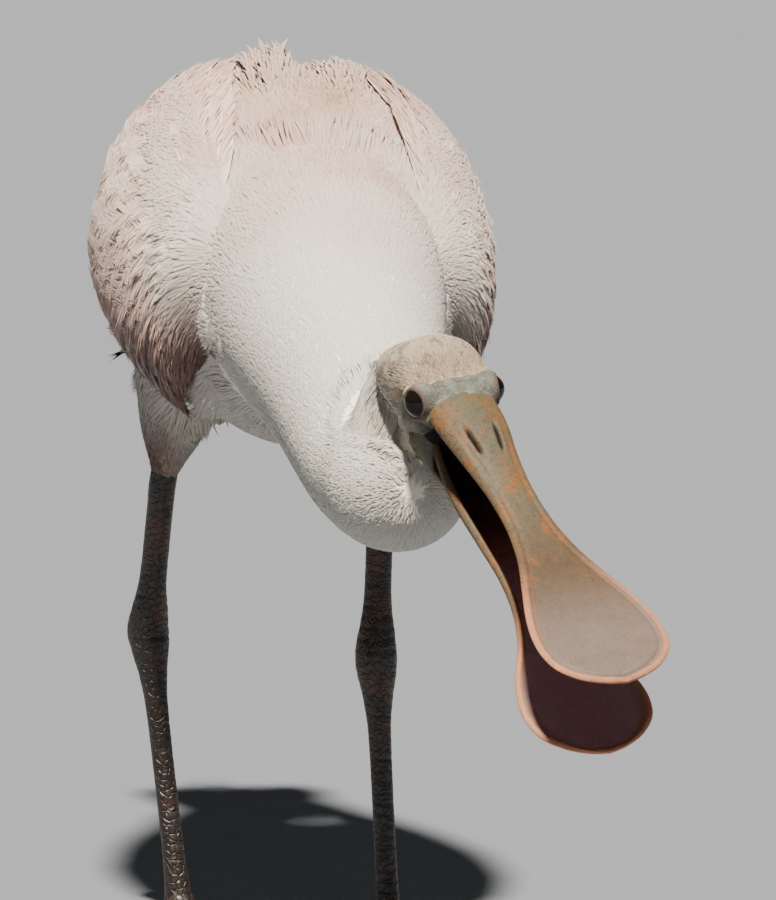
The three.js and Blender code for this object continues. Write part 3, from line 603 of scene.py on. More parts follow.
# Depth of the coat over the skin
COAT_TRUNK = 3.0
COAT_NECK = 2.4
COAT_HEAD = 1.1
COAT_THIGH = 2.4
# Swelling of the skin round each eye: place behind the eye's middle, half sizes
EYE_MOUND_PLACE = np.array([0, 3.5, 0])
EYE_MOUND = (5.6, 9.0, 5.9)


def build_skin():
    """One closed skin: trunk, neck, head, arms and thighs melted together, then smoothed."""
    parts = [
        tube(from_trunk(section_rings(TRUNK, 40, 56, COAT_TRUNK))),
        tube(path_rings(LOWER_NECK, 26, 48, COAT_NECK)),
        tube(path_rings(COLLAR, 20, 48, COAT_NECK)),
        tube(path_rings(UPPER_NECK, 16, 48, COAT_NECK)),
        tube(ball(LOWER_NECK[-1][:3], (29 - COAT_NECK, 27 - COAT_NECK, 27 - COAT_NECK))),
        tube(from_head(skull_rings(36, 64, COAT_HEAD, 1.2))),
        tube(from_head(section_rings(JAW, 24, 40, COAT_HEAD))),
    ]
    parts += [tube(from_head(ball(EYE_CENTRE * np.array([side, 1, 1]) + EYE_MOUND_PLACE, EYE_MOUND)))
              for side in SIDES.values()]
    parts += [arm_sheet(side, 1.0) for side in SIDES.values()]
    parts += [wing_pad(side) for side in SIDES.values()]
    parts += [tube(path_rings(thigh_table(leg), 20, 36, COAT_THIGH)) for leg in LEGS.values()]
    return melt("skin", parts, SKIN_VOXEL, SKIN_SMOOTHING)


def mesh_arrays(mesh):
    """Points in the bird's frame, point normals and triangles of a mesh."""
    points = np.empty(len(mesh.vertices) * 3)
    mesh.vertices.foreach_get("co", points)
    normals = np.empty(len(mesh.vertices) * 3)
    mesh.vertices.foreach_get("normal", normals)
    mesh.calc_loop_triangles()
    triangles = np.empty(len(mesh.loop_triangles) * 3, np.int64)
    mesh.loop_triangles.foreach_get("vertices", triangles)
    return points.reshape(-1, 3) / MM - SHIFT, normals.reshape(-1, 3), triangles.reshape(-1, 3)


# Way that the plumage lies on head and trunk, in their own frames
HEAD_LIE = unit(np.array([0, 0.93, -0.36]))
TRUNK_LIE = unit(np.array([0, 1.0, -0.06]))


def spine():
    """Stations that say how plumage lies: centre, way, dorsal side, radius, place along and zone.

    Zones are 0 head, 1 neck, 2 trunk, 3 right thigh and 4 left thigh.
    """
    rows = []
    for share in np.linspace(0, 1, 16):
        back, half, top, bottom = stations(SKULL, share * (len(SKULL) - 1))
        place = from_head(np.array([0, back, (top + bottom) / 2]))
        rows.append((place, HEAD_TURN @ HEAD_LIE, HEAD_TURN[:, 2],
                     (half + (top - bottom) / 2) / 2, 0.15 * share, 0))
    paths = [(UPPER_NECK, np.linspace(2.6, 0.2, 10), 0.15, 0.25, 1),
             (LOWER_NECK, np.linspace(4.0, 1.0, 22), 0.25, 0.45, 1)]
    for table, places, first, last, zone in paths:
        for share, at in zip(np.linspace(0, 1, len(places)), places):
            here = stations(table, at)
            way = unit(stations(table, at - 0.03)[:3] - stations(table, at + 0.03)[:3])
            dorsal = np.cross(way, np.array([1.0, 0, 0]))
            rows.append((here[:3], way, dorsal, (here[3] + here[4]) / 2, first + (last - first) * share,
                         zone))
    for share, back in zip(np.linspace(0, 1, 24), np.linspace(-78, 146, 24)):
        _, half, top, bottom = table_at(TRUNK, back)
        rows.append((from_trunk(np.array([0, back, (top + bottom) / 2])), TRUNK_TURN @ TRUNK_LIE,
                     TRUNK_TURN[:, 2], (half + (top - bottom) / 2) / 2, 0.45 + 0.33 * share, 2))
    for first, zone, name in ((0.80, 3, "right"), (0.90, 4, "left")):
        table = thigh_table(LEGS[name])
        for share in np.linspace(0, 1, 9):
            here = stations(table, (1 - share) * (len(table) - 1) * 0.9)
            way = unit(np.array(LEGS[name]["shin"], float) - np.array(LEGS[name]["thigh"], float))
            rows.append((here[:3], way, np.array([0.0, 1.0, 0.0]), (here[3] + here[4]) / 2,
                         first + 0.09 * share, zone))
    columns = list(zip(*rows))
    return [np.array(column, float) for column in columns]


SPINE = spine()


def lie_at(points, normals):
    """Lie of the plumage, zone shares and place on the skin's own unwrap.

    Each station of the spine counts by how near it is in radii. The lie is the mean of their ways,
    laid flat on the skin. The unwrap is the angle round the nearest station by the place along the spine.
    """
    centres, ways, dorsals, radii, places, zones = SPINE
    flow = np.empty_like(points)
    shares = np.empty((len(points), 5))
    unwrap = np.empty((len(points), 2))
    for first in range(0, len(points), 20000):
        part = slice(first, first + 20000)
        away = points[part, None] - centres[None]
        near = np.linalg.norm(away, axis=-1) / radii
        weight = np.exp(-9.0 * (near - near.min(axis=1, keepdims=True)))
        weight /= weight.sum(axis=1, keepdims=True)
        flow[part] = weight @ ways
        for zone in range(5):
            shares[part, zone] = weight[:, zones == zone].sum(axis=1)
        best = near.argmin(axis=1)
        offset = points[part] - centres[best]
        side = np.cross(dorsals[best], ways[best])
        angle = np.arctan2(np.einsum("ij,ij->i", offset, side), np.einsum("ij,ij->i", offset, dorsals[best]))
        unwrap[part, 0] = 0.02 + 0.96 * (angle / (2 * np.pi) + 0.5)
        unwrap[part, 1] = places[best] + np.einsum("ij,ij->i", offset, ways[best]) * 0.0016
    flow = unit(flow - normals * np.einsum("ij,ij->i", flow, normals)[:, None])
    return flow, shares, np.clip(unwrap, 0.005, 0.99)


def feather_line(head_points):
    """Distance back past the edge of the bare face, in the head frame. Negative is bare."""
    heights = np.array([row[0] for row in FEATHER_LINE], float)
    backs = np.array([row[1] for row in FEATHER_LINE], float)
    edge = np.interp(head_points[:, 2], heights, backs)
    return head_points[:, 1] - edge - 0.7 * fine_noise(head_points, 3.0, 2.0)


# Markings: spots of ochre stain on the back, as trunk places and radii
STAINS = [
    ((-24, 14, 54), 9, 0.75),
    ((-10, -14, 56), 12, 0.7),
    ((-2, 12, 60), 15, 0.55),
    ((14, -4, 58), 17, 0.4),
    ((30, 60, 50), 20, 0.5),
    ((36, 96, 37), 16, 0.5),
    ((2, 50, 60), 34, 0.36),
    ((-38, -8, 46), 7, 0.45),
]


def markings(points, on_wing=False):
    """Pink, ochre, dark tone and buff at points of the bird, each from 0 to 1. The dark tone is partly the
    head's own streaks and the wing's brown low feathers, partly painted shade under the trunk, on the thighs,
    below the wing's edge and on the wing's lower part.
    """
    trunk = to_trunk(points)
    head = to_head(points)
    x, back, height = trunk.T
    broad = fine_noise(points, 26.0, 5.0)
    streak = fine_noise(points * np.array([1.0, 0.35, 0.6]), 7.0, 6.0)
    body = smooth(-150, -60, back)
    above = smooth(14, 52, height + 7 * broad)
    pink = body * (0.62 * above + 0.14 + 0.2 * broad)
    ochre = 0.0
    for centre, radius, strength in STAINS:
        away = np.linalg.norm((trunk - np.array(centre)) / radius, axis=1)
        ochre = ochre + strength * np.exp(-away ** 2)
    ochre = ochre * np.clip(0.75 + 0.9 * streak + 0.4 * broad, 0, 1.6)
    # Painted shade: darker towards the underside of the trunk and on the thighs, and on the flanks just below
    # the wing's edge
    dusk = 0.18 * body * smooth(-20, -62, height) + 0.35 * smooth(-62, -84, height)
    dusk = dusk + 0.4 * smooth(-52, -66, height) * smooth(36, 52, np.abs(x)) * body
    if on_wing:
        # On the wing, the darker lower part is partly its own pink brown and partly painted shade
        low = smooth(24, -40, height + 9 * streak)
        pink = np.clip(0.42 + 0.25 * above + 0.5 * low + 0.3 * streak, 0, 1)
        pink = pink * (1 - 0.55 * smooth(-30, -60, back) * smooth(-30, 5, height))
        dusk = np.clip(low ** 1.3 * (0.95 + 0.5 * streak) * smooth(150, 60, back), 0, 1)
    around_head = smooth(34, 24, np.linalg.norm(head - np.array([0, 12, -12.0]), axis=1))
    near = around_head * smooth(-20, -4, head[:, 2])
    cheek = around_head * smooth(-4, -20, head[:, 2])
    fleck = fine_noise(head * np.array([1.0, 0.4, 1.0]), 2.6, 7.0)
    buff = np.clip(near * (0.85 + 0.3 * broad) + 0.3 * cheek, 0, 1)
    brow = smooth(11, 0, head[:, 1])
    ochre = ochre + near * (0.55 * smooth(0.1, 0.6, fleck) + 0.5 * brow * smooth(-0.2, 0.4, fleck))
    dusk = np.maximum(dusk, (0.56 * near + 0.36 * cheek) * smooth(0.0, 0.4, -fleck))
    return {
        "pink": np.clip(pink, 0, 1),
        "ochre": np.clip(ochre, 0, 1),
        "dusk": np.clip(dusk, 0, 1),
        "buff": np.clip(buff, 0, 1),
    }


def under_wing(points):
    """1 where a folded wing hides the trunk, 0 where the trunk shows."""
    x, back, height = to_trunk(points).T
    _, upper, lower = np.moveaxis(table_at(WING_EDGE, back), -1, 0)
    share = smooth(0, 1, (height + 60) / 110)
    front = WING_FRONT + ARM_CURVE * (2 * (1 - share) - 1.1) ** 2
    return (np.abs(x) > upper + 11) & (height > lower + 9) & (back > front + 12)


def bending(points, normals, triangles, flow):
    """Curvature of the skin along the plumage at each point, positive where it bulges.

    The turn of the normal along each edge counts by how far the edge runs with the plumage. Then it is
    smoothed.
    """
    edges = np.concatenate([triangles[:, [0, 1]], triangles[:, [1, 2]], triangles[:, [2, 0]]])
    first, second = edges.T
    way = points[second] - points[first]
    square = np.maximum((way ** 2).sum(axis=1), 1e-9)
    turn = ((normals[second] - normals[first]) * way).sum(axis=1) / square
    share = (way * flow[first]).sum(axis=1) ** 2 / square + 1e-3
    count = len(points)
    bend = np.bincount(first, turn * share, count) / np.maximum(np.bincount(first, share, count), 1e-9)
    number = np.maximum(np.bincount(first, minlength=count), 1)
    for _ in range(10):
        bend = (bend + np.bincount(first, bend[second], count) / number) / 2
    return bend


CELL_SHARE = 1.12
CELL_PRIMES = np.array([73856093, 19349663, 83492791])


def cell_keys(places):
    """A whole number for the unit cell in which each place lies."""
    return (np.floor(places).astype(np.int64) * CELL_PRIMES).sum(axis=1)


def thinned(points, spacing):
    """Numbers of the points that are the first in their cell, so that they stand about evenly."""
    return np.unique(cell_keys(points / (spacing * CELL_SHARE)), return_index=True)[1]


def scatter(skin, spacing, seed, keep):
    """Roots spread evenly over the kept triangles: many random points, of which each small cell keeps one.

    Gives the roots, the way that the skin faces there and its bend.
    """
    points, normals, triangles, bend = skin
    random = np.random.default_rng(seed)
    a, b, c = (points[triangles[:, k]] for k in range(3))
    area = np.linalg.norm(np.cross(b - a, c - a), axis=1) / 2 * keep
    count = int(area.sum() / spacing ** 2 * 3.0)
    pick = random.choice(len(area), size=count, p=area / area.sum())
    u, v = random.random(count), random.random(count)
    over = u + v > 1
    u[over], v[over] = 1 - u[over], 1 - v[over]
    w = 1 - u - v
    tri = triangles[pick]
    shares = np.stack([w, u, v], axis=-1)
    roots = (points[tri] * shares[..., None]).sum(axis=1)
    facing = unit((normals[tri] * shares[..., None]).sum(axis=1))
    bend = (bend[tri] * shares).sum(axis=1)
    first = np.sort(thinned(roots, spacing))
    return roots[first], facing[first], bend[first]


# Blades and vanes

PATCH = 0.003
BLADE_SECTION = np.array([(-1.0, 0.0), (0.0, 0.17), (1.0, 0.0)])
# How far the shading of blades and vanes turns to their sides
BLADE_ROUND = 0.30
VANE_ROUND = 0.16
# Tufts: pull to the clump's middle, sway of their way, most drop by their length, rise of a lying tuft
CLUMP_PULL = 0.22
TUFT_SWAY = 0.14
DROP_LIMIT = 0.3
LOW_RISE = 0.8


def blades(centres, lefts, normals, halves, places):
    """Tapered blades of triangular section that end in a point.

    centres, lefts and normals are (blades, rows, 3), halves (blades, rows). The last row is the point.
    """
    count, rows = halves.shape
    size = halves[:, :-1, None, None]
    ring = (centres[:, :-1, None] + lefts[:, :-1, None] * (size * BLADE_SECTION[:, :1])
            + normals[:, :-1, None] * (size * BLADE_SECTION[:, 1:]))
    sides = len(BLADE_SECTION)
    each = (rows - 1) * sides + 1
    points = np.concatenate([ring.reshape(count, -1, 3), centres[:, -1:]], axis=1).reshape(-1, 3)
    base = np.arange(count)[:, None, None] * each
    i = np.arange(rows - 2)[None, :, None] * sides
    j = np.arange(sides)[None, None]
    k = (j + 1) % sides
    quads = np.stack([base + i + j, base + i + k, base + i + sides + k, base + i + sides + j], axis=-1)
    last = (rows - 2) * sides
    j, k = j[:, 0], k[:, 0]
    tips = np.stack([base[:, 0] + last + j, base[:, 0] + last + k, base[:, 0] + each - 1 + 0 * j], axis=-1)
    roots = base[:, 0] + np.arange(sides)[None, ::-1]
    along = np.concatenate([np.repeat(np.linspace(0, 1, rows)[:-1], sides), [1.0]])
    across = np.concatenate([np.tile(BLADE_SECTION[:, 0], rows - 1), [0.0]])
    patch = places[:, None] + PATCH * np.stack([across / 2, along - 0.5], axis=-1)[None]
    faces = [quads.reshape(-1, 4), tips.reshape(-1, 3), roots.reshape(-1, 3)]
    facing = normals[:, :-1, None] + lefts[:, :-1, None] * (BLADE_ROUND * BLADE_SECTION[:, 0])[:, None]
    facing = np.concatenate([facing.reshape(count, -1, 3), normals[:, -1:]], axis=1).reshape(-1, 3)
    return points, faces, np.tile(along, count), patch.reshape(-1, 2), facing, each


def tuft_piece(name, roots, facing, flow, bend, sizes, places, material, seed, marks=False):
    """Coat piece: a blade at each root that leaves the skin, bends and lies along the flow.

    sizes holds arrays of length, half width, rise, sink and clump size. The blade follows the bend of the
    skin, and neighbours lean together in small clumps.
    """
    random = np.random.default_rng(seed)
    count = len(roots)
    length, half, rise, sink, clump = sizes
    _, group = np.unique(cell_keys(roots / clump[:, None] + random.random(3)), return_inverse=True)
    total = np.zeros((group.max() + 1, 3))
    np.add.at(total, group, roots)
    middle = total[group] / np.bincount(group)[group][:, None]
    pull = (middle - roots) * CLUMP_PULL
    left = np.cross(facing, flow)
    sway = random.normal(0, TUFT_SWAY, count)[:, None] * left
    way = unit(flow + sway)
    stretch = length * random.uniform(0.78, 1.18, count)
    rows = np.array([0.0, 0.52, 1.0])
    rest = np.minimum(rise, LOW_RISE) * random.uniform(0.8, 1.15, count)
    rest = rest + np.maximum(rise - LOW_RISE, 0) * random.uniform(0.0, 1.15, count)
    tip = rest * random.uniform(0.1, 0.6, count) + 0.7 * np.maximum(rest - LOW_RISE, 0)
    run = stretch[:, None] * rows
    most = DROP_LIMIT * stretch[:, None]
    drop = np.clip(bend[:, None] / 2 * run ** 2, -most, most)
    lift = np.stack([-sink, rest, tip], axis=1) - drop
    centres = (roots[:, None] + way[:, None] * run[..., None]
               + facing[:, None] * lift[..., None] + pull[:, None] * (rows ** 1.5)[None, :, None])
    lefts = np.broadcast_to(left[:, None], centres.shape)
    ups = np.broadcast_to(facing[:, None], centres.shape)
    halves = half[:, None] * random.uniform(0.8, 1.2, count)[:, None] * np.array([0.7, 1.0, 0.0])
    points, faces, along, patch, normals, each = blades(centres, lefts, ups, halves, places)
    values = {key: np.repeat(value, each) for key, value in markings(roots, marks).items()}
    values["along"] = along
    values["pick"] = np.repeat(random.random(count), each)
    mesh = new_mesh(name, points, outward(points, faces), values, patch, normals)
    return add_piece(name, mesh, material)


VANE_COLUMNS = np.array([-1.0, -0.62, -0.12, 0.12, 0.62, 1.0])
VANE_HEIGHTS = np.array([0.0, 0.16, 0.24, 0.24, 0.16, 0.0])
VANE_ROWS = np.array([0.0, 0.12, 0.3, 0.5, 0.68, 0.82, 0.92, 0.975, 1.0])
# Share of a feather's length where it has its full lift, sway of its line, width that has the full camber
LIFT_END = 0.55
FEATHER_SWAY = 0.004
CAMBER_WIDTH = 18
BARB_HALF = 0.34


def vane_solids(centres, lefts, normals, halves, tilt, camber, ragged):
    """Closed feather vanes: an upper and a lower face that meet along both edges.

    The upper face bulges by the camber along the shaft, and the edges are drawn in by the ragged noise.
    """
    count, rows = halves.shape
    lower_columns = VANE_COLUMNS[-2:0:-1]
    across = np.concatenate([VANE_COLUMNS, lower_columns])
    thick = np.concatenate([VANE_HEIGHTS, -VANE_HEIGHTS[1:-1]])
    spread = halves[..., None] * across * (1 - ragged[..., None] * np.abs(across) ** 3)
    height = camber[:, None, None] * (1 - across ** 2) + tilt * across + thick
    ring = (centres[:, :, None] + lefts[:, :, None] * spread[..., None]
            + normals[:, :, None] * height[..., None])
    around = len(across)
    points = ring.reshape(-1, 3)
    base = np.arange(count)[:, None, None] * rows * around
    i = np.arange(rows - 1)[None, :, None] * around
    j = np.arange(around)[None, None]
    k = (j + 1) % around
    quads = np.stack([base + i + j, base + i + k, base + i + around + k, base + i + around + j], axis=-1)
    ends = np.concatenate([base[:, 0] + np.arange(around)[None, ::-1],
                           base[:, 0] + (rows - 1) * around + np.arange(around)[None]])
    above = normals[:, :, None] + lefts[:, :, None] * (VANE_ROUND * VANE_COLUMNS)[:, None]
    below = np.broadcast_to(-normals[:, :, None], (count, rows, len(lower_columns), 3))
    facing = np.concatenate([above, below], axis=2).reshape(-1, 3)
    return points, [quads.reshape(-1, 4), ends.reshape(-1, around)], across, facing, rows * around


def vane_width(at):
    """Width of a feather from root to tip: it swells from a narrow root and ends round."""
    swell = 0.45 + 0.55 * np.minimum(1, at / 0.35)
    return swell * np.sqrt(np.clip(1 - np.clip((at - 0.55) / 0.455, 0, None) ** 2, 0, 1))


def lay(face, root, tip, lifts, curve, at):
    """Centre line of feathers on a face, with the direction, left side and normal at each place.

    root and tip are (feathers, 2) as distance back and share, lifts (feathers, 2). at holds shares of the
    length, (rows) for all feathers or (feathers, rows).
    """
    def spot(place):
        """Distance back, share and lift at shares of the length."""
        back = root[:, :1] + (tip[:, :1] - root[:, :1]) * place
        share = root[:, 1:] + (tip[:, 1:] - root[:, 1:]) * place + curve[:, None] * np.sin(np.pi * place)
        lift = lifts[:, :1] + (lifts[:, 1:] - lifts[:, :1]) * np.minimum(1, place / LIFT_END)
        return back, share, lift
    place = np.broadcast_to(at, (len(root), np.shape(at)[-1]))
    back, share, lift = spot(place)
    centre = face(back, share, lift)
    way = unit(face(*spot(place + 0.02)) - centre)
    rough = unit(centre - face(back, share, lift - 4))
    left = unit(np.cross(rough, way))
    return centre, way, left, np.cross(way, left)


def feather_set(name, face, tiers, finish, material, seed, replaced=()):
    """Tiers of feathers with vanes and barbs laid on a face, as one piece."""
    root, tip, lifts, width = tier_arrays(tiers, seed)
    middle = from_trunk(face((root[:, 0] + tip[:, 0]) / 2, (root[:, 1] + tip[:, 1]) / 2, lifts[:, 1]))
    place = lie_at(middle, np.broadcast_to(np.array([0.0, 0.0, 1.0]), middle.shape))[2]
    random = np.random.default_rng(seed)
    count = len(root)
    curve = random.normal(0, FEATHER_SWAY, count)
    centre, _, left, normal = lay(face, root, tip, lifts, curve, VANE_ROWS)
    halves = np.maximum(width[:, None] / 2 * vane_width(VANE_ROWS)[None], 0.25)
    ragged = random.uniform(0.0, finish["ragged"], halves.shape)
    camber = finish["camber"] * width / CAMBER_WIDTH
    points, faces, across, normals, each = vane_solids(centre, left, normal, halves, finish["tilt"], camber,
                                                       ragged)
    values = markings(from_trunk(centre.reshape(-1, 3)), finish["wing"])
    values = {key: np.repeat(value, len(across)) for key, value in values.items()}
    values["along"] = np.tile(np.repeat(VANE_ROWS, len(across)), count)
    values["across"] = np.tile(across, len(VANE_ROWS) * count)
    values["pick"] = np.repeat(random.random(count), each)
    spread = np.stack(np.broadcast_arrays(across / 2, (VANE_ROWS - 0.5)[:, None]), axis=-1).reshape(-1, 2)
    patch = place[:, None] + PATCH * spread[None]
    vanes = points, faces, values, patch.reshape(-1, 2), normals
    barbs = barb_solids(face, root, tip, lifts, curve, width, finish, random, place)
    points, faces = join([(part[0], outward(part[0], part[1])) for part in (vanes, barbs)])
    attributes = {key: np.concatenate([vanes[2][key], barbs[2][key]]) for key in values}
    patch, normals = (np.concatenate([vanes[k], barbs[k]]) for k in (3, 4))
    normals = from_trunk(normals) - from_trunk(np.zeros((1, 3)))
    mesh = new_mesh(name, from_trunk(points), faces, attributes, patch, normals)
    return add_piece(name, mesh, material, replaced)


def barb_solids(face, root, tip, lifts, curve, width, finish, random, place):
    """Barbs: fine blades from the shaft to the vane's edge, leaning to the tip on both sides."""
    count = len(root)
    number = finish["barbs"]
    at = np.sort(random.uniform(0.16, 0.98, (count, number)), axis=1)
    side = np.where(random.random((count, number)) < 0.5, -1.0, 1.0)
    centre, way, left, normal = lay(face, root, tip, lifts, curve, at)
    half = width[:, None] / 2 * np.maximum(vane_width(at), 0.3)
    out = half * random.uniform(0.75, 1.12, at.shape)
    start = random.uniform(0.0, 0.55, at.shape)
    run = out * random.uniform(1.1, 1.9, at.shape)
    rows = np.array([0.0, 0.45, 1.0])
    reach = start[..., None] + (1 - start[..., None]) * rows
    tilt = finish["tilt"] * side
    camber = finish["camber"] * width[:, None] / CAMBER_WIDTH
    height = (camber[..., None] * (1 - reach ** 2) + tilt[..., None] * reach + 0.26
              + np.array([-0.1, 0.10, 0.12]) * random.uniform(0.4, 1.6, at.shape)[..., None])
    centres = (centre[:, :, None] + left[:, :, None] * (side[..., None] * out[..., None] * reach)[..., None]
               + way[:, :, None] * (run[..., None] * (reach - start[..., None]))[..., None]
               + normal[:, :, None] * height[..., None])
    flat = centres.reshape(-1, 3, 3)
    heading = unit(flat[:, -1] - flat[:, 0])
    up = normal.reshape(-1, 3)
    lefts = np.broadcast_to(unit(np.cross(up, heading))[:, None], flat.shape)
    ups = np.broadcast_to(up[:, None], flat.shape)
    halves = BARB_HALF * random.uniform(0.7, 1.3, (count * number, 1)) * np.array([0.8, 1.0, 0.0])
    places = np.repeat(place, number, axis=0)
    points, faces, along, patch, normals, each = blades(flat, lefts, ups, halves, places)
    values = markings(from_trunk(centre.reshape(-1, 3)), finish["wing"])
    values = {key: np.repeat(value, each) for key, value in values.items()}
    values["along"] = np.repeat(at.ravel(), each)
    values["across"] = np.repeat((side * 0.5).ravel(), each)
    values["pick"] = np.repeat(random.random(count * number), each)
    return points, faces, values, patch, normals


# Materials

class Value:
    """A number in a node tree. Arithmetic on it adds Math nodes."""

    def __init__(self, shader, socket):
        self.shader = shader
        self.socket = socket

    def math(self, operation, *others, swap=False):
        """Math node of this value and others."""
        terms = [self, *others]
        if swap:
            terms.reverse()
        node = self.shader.add("ShaderNodeMath", {"operation": operation}, inputs=dict(enumerate(terms)))
        return Value(self.shader, node.outputs[0])

    def __add__(self, other):
        return self.math("ADD", other)

    __radd__ = __add__

    def __sub__(self, other):
        return self.math("SUBTRACT", other)

    def __rsub__(self, other):
        return self.math("SUBTRACT", other, swap=True)

    def __mul__(self, other):
        return self.math("MULTIPLY", other)

    __rmul__ = __mul__

    def clamp(self):
        """Value kept between 0 and 1."""
        return self.math("MAXIMUM", 0.0).math("MINIMUM", 1.0)

    def step(self, low, high):
        """Smooth step from 0 at low to 1 at high."""
        node = self.shader.add("ShaderNodeMapRange", {"interpolation_type": "SMOOTHSTEP"},
                               inputs={"Value": self, "From Min": low, "From Max": high})
        return Value(self.shader, node.outputs[0])


class Shader:
    """One material's node tree with a Principled shader."""

    def __init__(self, name, **constants):
        self.material = bpy.data.materials.new(name)
        self.material.use_nodes = True
        self.nodes = self.material.node_tree.nodes
        self.links = self.material.node_tree.links
        self.surface = next(node for node in self.nodes if node.type == "BSDF_PRINCIPLED")
        for key, value in constants.items():
            self.surface.inputs[key.replace("_", " ")].default_value = value

    def add(self, kind, settings=(), inputs=()):
        """Node of a kind, with its settings set first, then its sockets' values or links."""
        node = self.nodes.new(kind)
        for key, value in dict(settings).items():
            setattr(node, key, value)
        for key, value in dict(inputs).items():
            source = value.socket if isinstance(value, Value) else value
            if isinstance(source, bpy.types.NodeSocket):
                self.links.new(source, node.inputs[key])
            else:
                node.inputs[key].default_value = source
        return node

    def attribute(self, name):
        """Number stored at the mesh's points."""
        return Value(self, self.add("ShaderNodeAttribute", {"attribute_name": name}).outputs["Fac"])

    def place(self):
        """Place on the object, in metres."""
        return self.add("ShaderNodeTexCoord").outputs["Object"]

    def noise(self, millimetres, detail=3.0, rough=0.55):
        """Noise of that grain size, from 0 to 1."""
        node = self.add("ShaderNodeTexNoise", inputs={
            "Vector": self.place(), "Scale": 1000.0 / millimetres, "Detail": detail, "Roughness": rough})
        return Value(self, node.outputs[0])

    def cells(self, millimetres):
        """Distance from the nearest edge of random cells."""
        node = self.add("ShaderNodeTexVoronoi", {"feature": "DISTANCE_TO_EDGE"}, inputs={
            "Vector": self.place(), "Scale": 1000.0 / millimetres})
        return Value(self, node.outputs["Distance"])

    def mix(self, share, first, second):
        """Colour between two colours."""
        node = self.add("ShaderNodeMix", {"data_type": "RGBA"}, inputs={
            0: share, 6: first if isinstance(first, bpy.types.NodeSocket) else (*first, 1.0),
            7: second if isinstance(second, bpy.types.NodeSocket) else (*second, 1.0)})
        return node.outputs[2]

    def tint(self, colour, amount):
        """Colour times a number."""
        node = self.add("ShaderNodeVectorMath", {"operation": "SCALE"}, inputs={0: colour, "Scale": amount})
        return node.outputs[0]

    def bump(self, height, millimetres, strength=1.0):
        """Relief of that depth."""
        node = self.add("ShaderNodeBump", inputs={
            "Height": height, "Distance": millimetres * MM, "Strength": strength})
        self.links.new(node.outputs[0], self.surface.inputs["Normal"])

    def finish(self, colour, roughness=None):
        """Link the colour, and the roughness if it varies."""
        self.links.new(colour, self.surface.inputs["Base Color"])
        if roughness is not None:
            self.links.new(roughness.socket, self.surface.inputs["Roughness"])
        return self.material


def plumage_colour(shader, look):
    """White plumage with its pink, ochre and buff markings and its dark tone, which is partly painted shade.
    """
    grain = shader.noise(3.0)
    colour = shader.mix((shader.attribute("pink") * (grain * 0.6 + 0.7)).clamp(), look.white, look.pink)
    colour = shader.mix(shader.attribute("buff"), colour, look.buff)
    colour = shader.mix((shader.attribute("ochre") * (grain * 1.2 + 0.3)).clamp(), colour, look.ochre)
    # Dark tone: the head's streaks and the wing's brown low feathers, with painted shade low on the body and
    # the wing
    return shader.mix((shader.attribute("dusk") * (grain * 0.8 + 0.6)).clamp(), colour, look.dusk)


def coat_material(look):
    """Small feathers: painted shade darkens each towards its root, and each is a little lighter or darker."""
    shader = Shader("small_feathers", Roughness=0.78, Subsurface_Weight=0.5, Subsurface_Scale=0.003,
                    Subsurface_Radius=(1.0, 0.94, 0.84))
    colour = plumage_colour(shader, look)
    # Painted shade: each tuft darker towards its root, where the tufts over it shade it; pick gives each tuft
    # its own tone
    shade = shader.attribute("along") * 0.10 + shader.attribute("pick") * 0.09 + 0.86
    return shader.finish(shader.tint(colour, shade))


def skin_material(look):
    """Skin under the coat, in the coat's colours, darkened a little as painted shade under the feathers."""
    shader = Shader("skin_under_feathers", Roughness=0.9)
    colour = plumage_colour(shader, look)
    shader.bump(shader.noise(1.2), 0.3)
    # Painted shade: a little darker than the coat, varied by a noise
    return shader.finish(shader.tint(colour, shader.noise(2.0) * 0.12 + 0.86))


def vane_material(look, name, edge, heart):
    """Large feathers: a deeper heart, pale edges and tip, a shaft line and fine barbs."""
    shader = Shader(name, Roughness=0.62, Sheen_Weight=0.1)
    across, along = shader.attribute("across"), shader.attribute("along")
    out = across.math("ABSOLUTE")
    colour = plumage_colour(shader, look)
    deep = (1 - out.step(0.25, 0.95)) * (1 - along.step(0.62, 0.98)) * heart
    colour = shader.mix(deep.clamp(), colour, look.heart)
    pale = (out.step(0.62, 1.0) * 0.55 + along.step(0.8, 1.0) * 0.45) * edge
    colour = shader.mix(pale.clamp(), colour, look.white)
    shaft = 1 - out.step(0.02, 0.09)
    colour = shader.mix(shaft * 0.35, colour, look.shaft)
    barbs = ((along * 260.0 - out * 55.0).math("SINE") * 0.5 + 0.5)
    shader.bump(barbs * 0.5 + shaft, 0.25, 0.6)
    shade = barbs * 0.08 + shader.attribute("pick") * 0.16 + 0.78
    return shader.finish(shader.tint(colour, shade))


